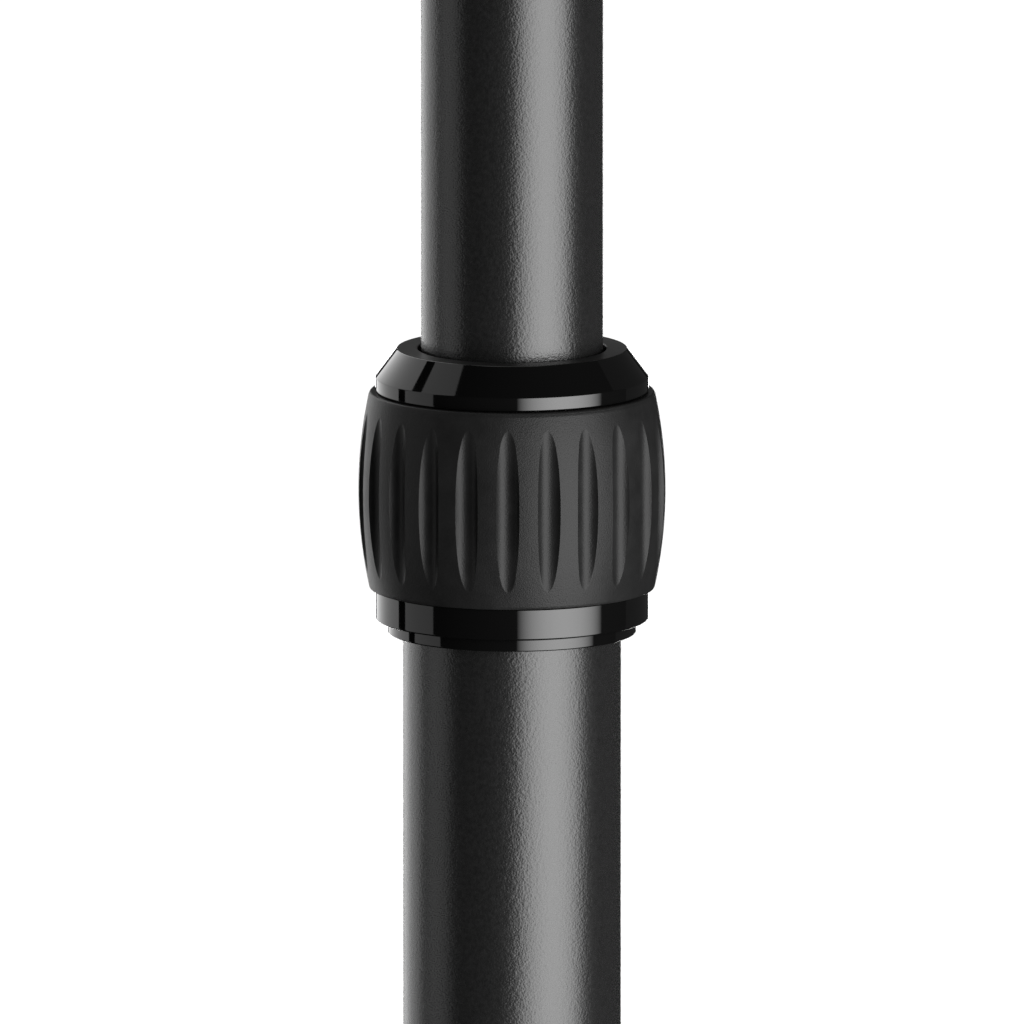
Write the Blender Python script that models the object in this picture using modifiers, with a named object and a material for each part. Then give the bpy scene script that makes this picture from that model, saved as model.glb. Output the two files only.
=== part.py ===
"""Boom pole: two powder-coated tubes, one sliding in the other, with a twist-lock collar between them.

Metres, +Z up the pole. The origin is the centre of the butt's bottom face, and the pole's front is -Y.
Turning the collar's nut anticlockwise, seen from the tip, lifts it along its thread and frees the split
collet that grips the upper tube.
"""

import math

import bmesh
import bpy
from mathutils import Matrix, Vector

# ---------------------------------------------------------------- tubes and clearances
UPPER_TUBE_DIAMETER = 0.025
UPPER_TUBE_LENGTH = 0.510
LOWER_TUBE_LENGTH = 0.510
TUBE_WALL = 0.0015
TUBE_SPACE = 0.001  # radial room between the tubes, which the guide bush fills
FIXED_GAP = 0.0003  # between pieces that are glued, pressed or screwed together
THIN_GAP = 0.00015  # between flat faces that meet end to end
SLIDE_GAP = 0.0002  # radial, between pieces that slide or turn on each other
EXTENSION_AT_REST = 0.080  # how far the upper tube is drawn out of its closed position
CLOSED_CLEARANCE = 0.002  # between the two tubes' plugs, if they stop the upper tube before its tip does

# ---------------------------------------------------------------- twist-lock collar
THREAD_PITCH = 0.003
THREAD_TURNS = 2
THREAD_DEPTH = 0.0006
RIB_ROOT_WIDTH = 0.0013
RIB_CREST_WIDTH = 0.0007
THREAD_START = 0.0085
RELEASE_TURN = math.radians(120)

SLEEVE_WALL = 0.001
SLEEVE_LIP_WALL = 0.0008
TUBE_SEAT_DEPTH = 0.015
CONE_HEIGHT = 0.0075
CONE_RISE = 0.0019
FLANGE_HEIGHT = 0.00173
FLANGE_PROUD = 0.0008

NUT_WALL = 0.001
BAND_PROUD = 0.00057
BOTTOM_BAND_HEIGHT = 0.0042
TOP_BAND_HEIGHT = 0.0018
GRIP_HEIGHT = 0.0276
GRIP_END_THICKNESS = 0.0014
GRIP_CROWN = 0.0015
GRIP_LIP = 0.0004
CHAMFER_HEIGHT = 0.004
CHAMFER_INSET = 0.003
CAP_BORE_GAP = 0.00045
CAP_RECESS = 0.0011  # how far the face that pushes the collet down lies below the cap's seat
SPIGOT_WALL = 0.0009
SPIGOT_CLEARANCE = 0.0008  # between the cap's spigot and the sleeve's top, with the nut turned home

FLUTE_COUNT = 23
FLUTE_RADIUS = 0.00185
FLUTE_DEPTH = 0.001
FLUTE_PHASE = math.radians(-91.6)

COLLET_HEAD_HEIGHT = 0.0017
COLLET_SLOTS = 6
COLLET_SLOT_WIDTH = 0.0012
WASHER_HEIGHT = 0.0012
WIPER_HEIGHT = 0.0016
WIPER_WIDTH = 0.0015

SLEEVE_SCREW_COUNT = 3
SLEEVE_SCREW_RADIUS = 0.00125
SLEEVE_SCREW_HEIGHT = 0.0043
SLEEVE_SCREW_SOCKET = 0.0006

# ---------------------------------------------------------------- foot of the upper tube
GUIDE_LENGTH = 0.045
GUIDE_SPLIT = 0.0015
RING_HEIGHT = 0.0011
RING_BITE = 0.0004
RING_SPLIT = 0.003
END_PLUG_FLANGE = 0.002
END_PLUG_LENGTH = 0.015
END_PLUG_VENT_RADIUS = 0.003

# ---------------------------------------------------------------- tip
TIP_HEAD_HEIGHT = 0.009
TIP_HEAD_PROUD = 0.001
TIP_NECK_RADIUS = 0.0105
TIP_SPIGOT_LENGTH = 0.025
TIP_PIN_RADIUS = 0.00125
TIP_PIN_DEPTH = 0.012
TIP_PIN_LENGTH = 0.0038
TIP_WASHER_HEIGHT = 0.0015
STUD_RADIUS = 0.0047625  # 3/8 inch
STUD_PITCH = 0.0015875  # 16 threads to the inch
STUD_THREAD_DEPTH = 0.6134 * STUD_PITCH  # of a unified thread
STUD_RIB_ROOT_WIDTH = 0.85 * STUD_PITCH
STUD_RIB_CREST_WIDTH = STUD_PITCH / 6
STUD_REACH = 0.013
STUD_SEAT_DEPTH = 0.014
STUD_CHAMFER = 0.0008
STUD_SOCKET_RADIUS = 0.0025
STUD_SOCKET_DEPTH = 0.005

# ---------------------------------------------------------------- butt and hand grip
BUTT_FLOOR = 0.005
BUTT_WALL = 0.0027
BUTT_HEIGHT = 0.032
BUTT_ROUNDING = 0.0025
BUTT_PLUG_LENGTH = 0.015
BUTT_SCREW_RADIUS = 0.0022
BUTT_SCREW_LENGTH = 0.014
BUTT_HEAD_RADIUS = 0.0042
BUTT_HEAD_HEIGHT = 0.0024
BUTT_HEAD_DEPTH = 0.0004
BUTT_SOCKET_RADIUS = 0.0015
FOAM_LENGTH = 0.160
FOAM_THICKNESS = 0.0033
FOAM_ROUNDING = 0.0015
GRIP_RING_HEIGHT = 0.006
GRIP_RING_THICKNESS = 0.0036
GRIP_RING_OFFSET = 0.002  # from the butt cap's lip

# ---------------------------------------------------------------- facets
ROUND = 40
SMALL_ROUND = 20
FLUTE_SIDES = 12
HEXAGON = 6
FILLET_STEPS = 2
BARREL_STEPS = 10
THREAD_STEPS = 32
STUD_STEPS = 16
SHARP_ANGLE = math.radians(40)
CUT_MARGIN = 0.002  # how far a cutter runs past what it cuts

# ---------------------------------------------------------------- radii that follow from the sizes above
UPPER_RADIUS = UPPER_TUBE_DIAMETER / 2
UPPER_BORE = UPPER_RADIUS - TUBE_WALL
LOWER_BORE = UPPER_RADIUS + TUBE_SPACE
LOWER_RADIUS = LOWER_BORE + TUBE_WALL
SLEEVE_BORE = LOWER_RADIUS + FIXED_GAP
SLEEVE_RADIUS = SLEEVE_BORE + SLEEVE_WALL
FLANGE_RADIUS = SLEEVE_RADIUS + FLANGE_PROUD
NUT_BORE = SLEEVE_RADIUS + THREAD_DEPTH + FIXED_GAP
WAIST_RADIUS = NUT_BORE + NUT_WALL
BAND_RADIUS = WAIST_RADIUS + BAND_PROUD
GRIP_END_RADIUS = WAIST_RADIUS + GRIP_END_THICKNESS
GRIP_RADIUS = GRIP_END_RADIUS + GRIP_CROWN
CAP_BORE = UPPER_RADIUS + CAP_BORE_GAP
SPIGOT_RADIUS = NUT_BORE - FIXED_GAP
SPIGOT_BORE = SPIGOT_RADIUS - SPIGOT_WALL
COLLET_HEAD_RADIUS = SPIGOT_BORE - FIXED_GAP
COLLET_BORE = UPPER_RADIUS + SLIDE_GAP
CONE_TOP_RADIUS = SLEEVE_RADIUS - SLEEVE_LIP_WALL

# ---------------------------------------------------------------- heights above the collar's foot
NUT_BOTTOM = FLANGE_HEIGHT + THIN_GAP
GRIP_BOTTOM = NUT_BOTTOM + BOTTOM_BAND_HEIGHT
GRIP_TOP = GRIP_BOTTOM + GRIP_HEIGHT
NUT_TOP = GRIP_TOP - FIXED_GAP
CAP_CHAMFER_START = GRIP_TOP + TOP_BAND_HEIGHT
COLLAR_HEIGHT = CAP_CHAMFER_START + CHAMFER_HEIGHT
CAP_PUSH_FACE = GRIP_TOP - CAP_RECESS
WASHER_TOP = CAP_PUSH_FACE - THIN_GAP
WASHER_BOTTOM = WASHER_TOP - WASHER_HEIGHT
COLLET_TOP = WASHER_BOTTOM - THIN_GAP
COLLET_HEAD_BOTTOM = COLLET_TOP - COLLET_HEAD_HEIGHT
SLEEVE_TOP = COLLET_HEAD_BOTTOM - FIXED_GAP
CONE_BOTTOM = SLEEVE_TOP - CONE_HEIGHT
SHOULDER_BOTTOM = TUBE_SEAT_DEPTH + FIXED_GAP
SPIGOT_BOTTOM = SLEEVE_TOP + SPIGOT_CLEARANCE
RELEASE_LIFT = THREAD_PITCH * RELEASE_TURN / (2 * math.pi)

# ---------------------------------------------------------------- places along the pole
LOWER_TUBE_BOTTOM = BUTT_FLOOR + FIXED_GAP
BUTT_PLUG_TOP = LOWER_TUBE_BOTTOM + BUTT_PLUG_LENGTH
GRIP_RING_START = BUTT_HEIGHT + GRIP_RING_OFFSET
COLLAR_HEIGHT_ON_POLE = LOWER_TUBE_BOTTOM + LOWER_TUBE_LENGTH - TUBE_SEAT_DEPTH
TIP_STOP = COLLAR_HEIGHT_ON_POLE + COLLAR_HEIGHT + RELEASE_LIFT + FIXED_GAP
PLUG_STOP = BUTT_PLUG_TOP + CLOSED_CLEARANCE + END_PLUG_FLANGE + THIN_GAP + UPPER_TUBE_LENGTH
UPPER_TUBE_BOTTOM = max(TIP_STOP, PLUG_STOP) - UPPER_TUBE_LENGTH + EXTENSION_AT_REST


# ---------------------------------------------------------------- scene set-up
def clear_scene():
    for thing in list(bpy.data.objects):
        bpy.data.objects.remove(thing)


def new_collection(name, hidden=False):
    made = bpy.data.collections.new(name)
    made.hide_render = hidden
    bpy.context.scene.collection.children.link(made)
    return made


def new_material(name, colour, roughness, metallic=0.0):
    made = bpy.data.materials.new(name)
    made.use_nodes = True
    shader = made.node_tree.nodes["Principled BSDF"]
    shader.inputs["Base Color"].default_value = (*colour, 1)
    shader.inputs["Roughness"].default_value = roughness
    shader.inputs["Metallic"].default_value = metallic
    return made


def new_object(name, mesh, material, datum):
    """A part's object, whose mesh is measured from its datum, an empty on the pole's axis."""
    made = bpy.data.objects.new(name, mesh)
    PARTS.objects.link(made)
    made.parent = datum
    if material:
        mesh.materials.append(material)
    return made


def new_datum(name, height, parent=None):
    """An empty on the pole's axis, on which a group of pieces slides or turns."""
    made = bpy.data.objects.new(name, None)
    PARTS.objects.link(made)
    made.parent = parent
    made.location.z = height - (parent.location.z if parent else 0)
    return made


# ---------------------------------------------------------------- shapes
def filleted(profile):
    """The profile's points, with each corner given as (radius, height, fillet) made an arc of that fillet."""
    made = []
    count = len(profile)
    for i, corner in enumerate(profile):
        here = Vector(corner[:2])
        if len(corner) < 3:
            made.append(here)
            continue
        before = (Vector(profile[i - 1][:2]) - here).normalized()
        after = (Vector(profile[(i + 1) % count][:2]) - here).normalized()
        half_angle = before.angle(after) / 2
        centre = here + (before + after).normalized() * corner[2] / math.sin(half_angle)
        start = here + before * corner[2] / math.tan(half_angle) - centre
        sweep = start.angle_signed(here + after * corner[2] / math.tan(half_angle) - centre)
        for step in range(FILLET_STEPS + 1):
            made.append(centre + Matrix.Rotation(-sweep * step / FILLET_STEPS, 2) @ start)
    return made


def turned(name, profile, material, datum, segments=ROUND):
    """A solid of revolution. The profile runs down its outer side and up its bore, or from axis to axis."""
    points = filleted(profile)
    solid_core = profile[0][0] == 0
    edges = [(i, i + 1) for i in range(len(points) - 1)]
    if not solid_core:
        edges.append((len(points) - 1, 0))
    mesh = bpy.data.meshes.new(name)
    mesh.from_pydata([(radius, 0, height) for radius, height in points], edges, [])
    made = new_object(name, mesh, material, datum)
    screw = made.modifiers.new("turn", "SCREW")
    screw.axis = "Z"
    screw.steps = screw.render_steps = segments
    screw.use_merge_vertices = True
    screw.merge_threshold = 1e-6
    return made


def pipe(name, outer, inner, bottom, top, material, datum, segments=ROUND):
    """A plain ring or tube."""
    profile = [(outer, top), (outer, bottom), (inner, bottom), (inner, top)]
    return turned(name, profile, material, datum, segments)


def cutter(name, mesh, datum):
    """A helper that shapes another piece and isn't a part of the pole."""
    made = bpy.data.objects.new(name, mesh)
    CUTTERS.objects.link(made)
    made.parent = datum
    made.hide_render = True
    made.display_type = "WIRE"
    return made


def mesh_of(name, bm):
    bmesh.ops.recalc_face_normals(bm, faces=bm.faces)
    mesh = bpy.data.meshes.new(name)
    bm.to_mesh(mesh)
    bm.free()
    return mesh


def combine(piece, tool, operation):
    step = piece.modifiers.new(tool.name, "BOOLEAN")
    step.object = tool
    step.operation = operation
    step.solver = "EXACT"


def radial_pins_mesh(name, angles, height, radius, inner, outer, sides):
    """Cylinders that point straight out from the axis, at one height."""
    bm = bmesh.new()
    for angle in angles:
        lie_down = Matrix.Rotation(math.pi / 2, 4, "Y")
        middle = Matrix.Translation(((inner + outer) / 2, 0, height))
        bmesh.ops.create_cone(
            bm,
            cap_ends=True,
            segments=sides,
            radius1=radius,
            radius2=radius,
            depth=outer - inner,
            matrix=Matrix.Rotation(angle, 4, "Z") @ middle @ lie_down,
        )
    return mesh_of(name, bm)


def slots_mesh(name, angles, width, reach, bottom, top):
    """Upright blades from the axis out to reach, one at each angle."""
    bm = bmesh.new()
    for angle in angles:
        size = Matrix.Diagonal((reach, width, top - bottom, 1))
        place = Matrix.Translation((reach / 2, 0, (top + bottom) / 2))
        bmesh.ops.create_cube(bm, size=1, matrix=Matrix.Rotation(angle, 4, "Z") @ place @ size)
    return mesh_of(name, bm)


def prism_mesh(name, radius, bottom, top, sides):
    """An upright prism or cylinder on the axis."""
    bm = bmesh.new()
    middle = Matrix.Translation((0, 0, (bottom + top) / 2))
    bmesh.ops.create_cone(
        bm, cap_ends=True, segments=sides, radius1=radius, radius2=radius, depth=top - bottom, matrix=middle
    )
    return mesh_of(name, bm)


def helical_rib_mesh(name, root, crest, start, turns, pitch, root_width, crest_width, steps):
    """A right-hand screw rib: a trapezium swept up a helix, from its root radius to its crest radius."""
    bm = bmesh.new()
    half_step = Matrix.Rotation(math.pi / steps, 3, "Z")
    outline = [
        (root, -root_width / 2),
        (crest, -crest_width / 2),
        (crest, crest_width / 2),
        (root, root_width / 2),
    ]
    corners = [bm.verts.new(half_step @ Vector((radius, 0, start + height))) for radius, height in outline]
    face = bm.faces.new(corners)
    bmesh.ops.spin(
        bm,
        geom=[face, *face.edges, *face.verts],
        cent=(0, 0, 0),
        axis=(0, 0, 1),
        dvec=(0, 0, pitch / steps),
        angle=2 * math.pi * turns,
        steps=round(steps * turns),
    )
    return mesh_of(name, bm)


def smoothing_by_angle(name, angle):
    """A node group that shades its mesh smooth and keeps each edge sharper than the angle crisp."""
    group = bpy.data.node_groups.new(name, "GeometryNodeTree")
    group.interface.new_socket("Geometry", in_out="INPUT", socket_type="NodeSocketGeometry")
    group.interface.new_socket("Geometry", in_out="OUTPUT", socket_type="NodeSocketGeometry")
    start, faces, edges, fold, sharper, end = (
        group.nodes.new(kind)
        for kind in (
            "NodeGroupInput",
            "GeometryNodeSetShadeSmooth",
            "GeometryNodeSetShadeSmooth",
            "GeometryNodeInputMeshEdgeAngle",
            "FunctionNodeCompare",
            "NodeGroupOutput",
        )
    )
    edges.domain = "EDGE"
    edges.inputs["Shade Smooth"].default_value = False
    sharper.inputs["B"].default_value = angle
    group.links.new(start.outputs[0], faces.inputs["Geometry"])
    group.links.new(faces.outputs[0], edges.inputs["Geometry"])
    group.links.new(fold.outputs["Unsigned Angle"], sharper.inputs["A"])
    group.links.new(sharper.outputs[0], edges.inputs["Selection"])
    group.links.new(edges.outputs[0], end.inputs[0])
    return group


def around(count, first=0.0):
    return [first + 2 * math.pi * i / count for i in range(count)]


# ---------------------------------------------------------------- lower section
def make_lower_tube(datum):
    tube = pipe(
        "lower_tube",
        LOWER_RADIUS,
        LOWER_BORE,
        LOWER_TUBE_BOTTOM,
        LOWER_TUBE_BOTTOM + LOWER_TUBE_LENGTH,
        ALUMINIUM,
        datum,
    )
    combine(tube, SCREW_HOLES, "DIFFERENCE")


def make_butt(datum):
    cap_radius = LOWER_RADIUS + FIXED_GAP + BUTT_WALL
    counterbore = BUTT_HEAD_RADIUS + FIXED_GAP
    counterbore_top = BUTT_HEAD_DEPTH + BUTT_HEAD_HEIGHT + THIN_GAP
    shank_hole = BUTT_SCREW_RADIUS + FIXED_GAP
    turned(
        "butt_cap",
        [
            (cap_radius, BUTT_HEIGHT, BUTT_WALL / 3),
            (cap_radius, 0, BUTT_ROUNDING),
            (counterbore, 0),
            (counterbore, counterbore_top),
            (shank_hole, counterbore_top),
            (shank_hole, BUTT_FLOOR),
            (LOWER_RADIUS + FIXED_GAP, BUTT_FLOOR),
            (LOWER_RADIUS + FIXED_GAP, BUTT_HEIGHT),
        ],
        RUBBER,
        datum,
    )
    plug_radius = LOWER_BORE - FIXED_GAP
    pipe("butt_plug", plug_radius, shank_hole, LOWER_TUBE_BOTTOM, BUTT_PLUG_TOP, HARD_PLASTIC, datum)
    head_top = BUTT_HEAD_DEPTH + BUTT_HEAD_HEIGHT
    screw = turned(
        "butt_screw",
        [
            (0, head_top + BUTT_SCREW_LENGTH),
            (BUTT_SCREW_RADIUS, head_top + BUTT_SCREW_LENGTH),
            (BUTT_SCREW_RADIUS, head_top),
            (BUTT_HEAD_RADIUS, head_top),
            (BUTT_HEAD_RADIUS, BUTT_HEAD_DEPTH),
            (0, BUTT_HEAD_DEPTH),
        ],
        STEEL,
        datum,
        SMALL_ROUND,
    )
    socket_floor = BUTT_HEAD_DEPTH + BUTT_HEAD_HEIGHT / 2
    socket = prism_mesh("butt_socket", BUTT_SOCKET_RADIUS, -CUT_MARGIN, socket_floor, HEXAGON)
    combine(screw, cutter("butt_socket", socket, datum), "DIFFERENCE")


def make_hand_grip(datum):
    bore = LOWER_RADIUS + FIXED_GAP
    ring_radius = LOWER_RADIUS + GRIP_RING_THICKNESS
    foam_bottom = GRIP_RING_START + GRIP_RING_HEIGHT + FIXED_GAP
    foam_top = foam_bottom + FOAM_LENGTH
    ring_starts = {"grip_ring_lower": GRIP_RING_START, "grip_ring_upper": foam_top + FIXED_GAP}
    for name, start in ring_starts.items():
        turned(
            name,
            [
                (ring_radius, start + GRIP_RING_HEIGHT, GRIP_RING_THICKNESS / 3),
                (ring_radius, start, GRIP_RING_THICKNESS / 3),
                (bore, start),
                (bore, start + GRIP_RING_HEIGHT),
            ],
            HARD_PLASTIC,
            datum,
        )
    turned(
        "foam_grip",
        [
            (LOWER_RADIUS + FOAM_THICKNESS, foam_top, FOAM_ROUNDING),
            (LOWER_RADIUS + FOAM_THICKNESS, foam_bottom, FOAM_ROUNDING),
            (bore, foam_bottom),
            (bore, foam_top),
        ],
        FOAM,
        datum,
    )


# ---------------------------------------------------------------- collar pieces fixed to the lower tube
def make_clamp_sleeve(datum):
    """The threaded sleeve on the lower tube, with a stop shoulder for the guide and a cone for the collet."""
    sleeve = turned(
        "clamp_sleeve",
        [
            (SLEEVE_RADIUS, SLEEVE_TOP),
            (SLEEVE_RADIUS, FLANGE_HEIGHT),
            (FLANGE_RADIUS, FLANGE_HEIGHT),
            (FLANGE_RADIUS, 0),
            (SLEEVE_BORE, 0),
            (SLEEVE_BORE, SHOULDER_BOTTOM),
            (UPPER_RADIUS + FIXED_GAP, SHOULDER_BOTTOM),
            (UPPER_RADIUS + FIXED_GAP, CONE_BOTTOM),
            (CONE_TOP_RADIUS - CONE_RISE, CONE_BOTTOM),
            (CONE_TOP_RADIUS, SLEEVE_TOP),
        ],
        GLOSS_PLASTIC,
        datum,
    )
    rib = helical_rib_mesh(
        "sleeve_thread",
        SLEEVE_RADIUS - SLEEVE_WALL / 2,
        SLEEVE_RADIUS + THREAD_DEPTH,
        THREAD_START,
        THREAD_TURNS,
        THREAD_PITCH,
        RIB_ROOT_WIDTH,
        RIB_CREST_WIDTH,
        THREAD_STEPS,
    )
    combine(sleeve, cutter("sleeve_thread", rib, datum), "UNION")
    combine(sleeve, SCREW_HOLES, "DIFFERENCE")


def make_sleeve_screws(datum):
    """Grub screws that pin the sleeve to the lower tube, each with a hexagon socket on its outer end."""
    inner = LOWER_BORE + SLIDE_GAP
    outer = SLEEVE_RADIUS - SLIDE_GAP
    angles = around(SLEEVE_SCREW_COUNT, math.pi / 2)
    for number, angle in enumerate(angles, start=1):
        name = f"sleeve_screw_{number}"
        body = radial_pins_mesh(
            name, [angle], SLEEVE_SCREW_HEIGHT, SLEEVE_SCREW_RADIUS, inner, outer, SMALL_ROUND
        )
        screw = new_object(name, body, STEEL, datum)
        socket_name = f"sleeve_screw_socket_{number}"
        socket_start = (inner + outer) / 2
        socket_end = outer + CUT_MARGIN
        socket = radial_pins_mesh(
            socket_name, [angle], SLEEVE_SCREW_HEIGHT, SLEEVE_SCREW_SOCKET, socket_start, socket_end, HEXAGON
        )
        combine(screw, cutter(socket_name, socket, datum), "DIFFERENCE")


# ---------------------------------------------------------------- collar pieces that only rise and fall
def make_collet(datum):
    """The split taper that the nut drives down into the sleeve's cone."""
    foot = CONE_BOTTOM + FIXED_GAP
    slope = CONE_RISE / CONE_HEIGHT
    top_radius = CONE_TOP_RADIUS - FIXED_GAP
    foot_radius = top_radius - slope * (SLEEVE_TOP - foot)
    collet = turned(
        "collet",
        [
            (COLLET_HEAD_RADIUS, COLLET_TOP),
            (COLLET_HEAD_RADIUS, COLLET_HEAD_BOTTOM),
            (top_radius, COLLET_HEAD_BOTTOM),
            (top_radius, SLEEVE_TOP),
            (foot_radius, foot),
            (COLLET_BORE, foot),
            (COLLET_BORE, COLLET_TOP),
        ],
        NYLON,
        datum,
    )
    angles = around(COLLET_SLOTS)
    reach = COLLET_HEAD_RADIUS + CUT_MARGIN
    through = slots_mesh(
        "collet_split", angles[:1], COLLET_SLOT_WIDTH, reach, foot - CUT_MARGIN, COLLET_TOP + CUT_MARGIN
    )
    partial = slots_mesh("collet_slots", angles[1:], COLLET_SLOT_WIDTH, reach, foot - CUT_MARGIN, SLEEVE_TOP)
    combine(collet, cutter("collet_split", through, datum), "DIFFERENCE")
    combine(collet, cutter("collet_slots", partial, datum), "DIFFERENCE")


def make_thrust_washer(datum):
    bore = UPPER_RADIUS + FIXED_GAP
    pipe("thrust_washer", COLLET_HEAD_RADIUS, bore, WASHER_BOTTOM, WASHER_TOP, STEEL, datum)


# ---------------------------------------------------------------- collar pieces that turn
def make_nut_body(datum):
    body = turned(
        "nut_body",
        [
            (WAIST_RADIUS, NUT_TOP),
            (WAIST_RADIUS, GRIP_BOTTOM),
            (BAND_RADIUS, GRIP_BOTTOM),
            (BAND_RADIUS, NUT_BOTTOM),
            (NUT_BORE, NUT_BOTTOM),
            (NUT_BORE, NUT_TOP),
        ],
        GLOSS_PLASTIC,
        datum,
    )
    rib = helical_rib_mesh(
        "nut_thread",
        NUT_BORE + NUT_WALL / 2,
        NUT_BORE - THREAD_DEPTH,
        THREAD_START + THREAD_PITCH / 2,
        THREAD_TURNS,
        THREAD_PITCH,
        RIB_ROOT_WIDTH,
        RIB_CREST_WIDTH,
        THREAD_STEPS,
    )
    combine(body, cutter("nut_thread", rib, datum), "UNION")


def make_nut_cap(datum):
    """The chamfered top ring, with a spigot that presses into the nut and a groove for the wiper."""
    groove_bottom = GRIP_TOP + THIN_GAP
    groove_top = groove_bottom + WIPER_HEIGHT + 2 * THIN_GAP
    groove_radius = UPPER_RADIUS + SLIDE_GAP + WIPER_WIDTH + SLIDE_GAP
    turned(
        "nut_cap",
        [
            (BAND_RADIUS - CHAMFER_INSET, COLLAR_HEIGHT),
            (BAND_RADIUS, CAP_CHAMFER_START),
            (BAND_RADIUS, GRIP_TOP),
            (SPIGOT_RADIUS, GRIP_TOP),
            (SPIGOT_RADIUS, SPIGOT_BOTTOM),
            (SPIGOT_BORE, SPIGOT_BOTTOM),
            (SPIGOT_BORE, CAP_PUSH_FACE),
            (CAP_BORE, CAP_PUSH_FACE),
            (CAP_BORE, groove_bottom),
            (groove_radius, groove_bottom),
            (groove_radius, groove_top),
            (CAP_BORE, groove_top),
            (CAP_BORE, COLLAR_HEIGHT),
        ],
        GLOSS_PLASTIC,
        datum,
    )
    inner = UPPER_RADIUS + SLIDE_GAP
    bottom = groove_bottom + THIN_GAP
    pipe("wiper_ring", inner + WIPER_WIDTH, inner, bottom, bottom + WIPER_HEIGHT, FOAM, datum)


def make_nut_grip(datum):
    """The barrel-shaped rubber sleeve, with upright flutes where round bars would cut its crown."""
    bottom = GRIP_BOTTOM + THIN_GAP
    top = GRIP_TOP - THIN_GAP
    middle = (bottom + top) / 2
    half = (top - bottom) / 2
    arc_radius = (half**2 + GRIP_CROWN**2) / (2 * GRIP_CROWN)
    half_angle = math.asin(half / arc_radius)
    arc_centre = GRIP_RADIUS - arc_radius
    barrel = []
    for step in range(BARREL_STEPS + 1):
        angle = half_angle * (1 - 2 * step / BARREL_STEPS)
        barrel.append((arc_centre + arc_radius * math.cos(angle), middle + arc_radius * math.sin(angle)))
    barrel[0] += (GRIP_LIP,)
    barrel[-1] += (GRIP_LIP,)
    bore = WAIST_RADIUS + SLIDE_GAP
    grip = turned("nut_grip", [*barrel, (bore, bottom), (bore, top)], RUBBER, datum, 2 * FLUTE_COUNT)
    bars = bmesh.new()
    for angle in around(FLUTE_COUNT, FLUTE_PHASE):
        place = Matrix.Translation((GRIP_RADIUS - FLUTE_DEPTH + FLUTE_RADIUS, 0, middle))
        bmesh.ops.create_cone(
            bars,
            cap_ends=True,
            segments=FLUTE_SIDES,
            radius1=FLUTE_RADIUS,
            radius2=FLUTE_RADIUS,
            depth=GRIP_HEIGHT + CUT_MARGIN,
            matrix=Matrix.Rotation(angle, 4, "Z") @ place,
        )
    combine(grip, cutter("flute_bars", mesh_of("flute_bars", bars), datum), "DIFFERENCE")


# ---------------------------------------------------------------- guide and upper section
def make_guide_bush(datum):
    """The split bush that centres the upper tube in the lower one, measured from the upper tube's foot."""
    outer = LOWER_BORE - SLIDE_GAP
    inner = UPPER_RADIUS + SLIDE_GAP
    bush = pipe("guide_bush", outer, inner, THIN_GAP, THIN_GAP + GUIDE_LENGTH, NYLON, datum)
    blade = slots_mesh(
        "guide_split", [0], GUIDE_SPLIT, outer + CUT_MARGIN, -CUT_MARGIN, GUIDE_LENGTH + CUT_MARGIN
    )
    combine(bush, cutter("guide_split", blade, datum), "DIFFERENCE")


def make_upper_tube(datum):
    """The upper tube and its snap ring, with the ring's groove and holes for the tip's pins."""
    groove_bottom = 2 * THIN_GAP + GUIDE_LENGTH
    groove_top = groove_bottom + RING_HEIGHT + 2 * THIN_GAP
    groove = UPPER_RADIUS - RING_BITE
    tube = turned(
        "upper_tube",
        [
            (UPPER_RADIUS, UPPER_TUBE_LENGTH),
            (UPPER_RADIUS, groove_top),
            (groove, groove_top),
            (groove, groove_bottom),
            (UPPER_RADIUS, groove_bottom),
            (UPPER_RADIUS, 0),
            (UPPER_BORE, 0),
            (UPPER_BORE, UPPER_TUBE_LENGTH),
        ],
        ALUMINIUM,
        datum,
    )
    combine(tube, TIP_PIN_HOLES, "DIFFERENCE")
    ring = pipe(
        "snap_ring",
        LOWER_BORE - FIXED_GAP,
        groove + THIN_GAP,
        groove_bottom + THIN_GAP,
        groove_bottom + THIN_GAP + RING_HEIGHT,
        STEEL,
        datum,
    )
    blade = slots_mesh("ring_split", [0], RING_SPLIT, LOWER_BORE, groove_bottom, groove_top)
    combine(ring, cutter("ring_split", blade, datum), "DIFFERENCE")


def make_inner_end_plug(datum):
    turned(
        "inner_end_plug",
        [
            (UPPER_BORE - FIXED_GAP, END_PLUG_LENGTH),
            (UPPER_BORE - FIXED_GAP, -THIN_GAP),
            (LOWER_BORE - FIXED_GAP, -THIN_GAP),
            (LOWER_BORE - FIXED_GAP, -THIN_GAP - END_PLUG_FLANGE),
            (END_PLUG_VENT_RADIUS, -THIN_GAP - END_PLUG_FLANGE),
            (END_PLUG_VENT_RADIUS, END_PLUG_LENGTH),
        ],
        HARD_PLASTIC,
        datum,
    )


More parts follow.
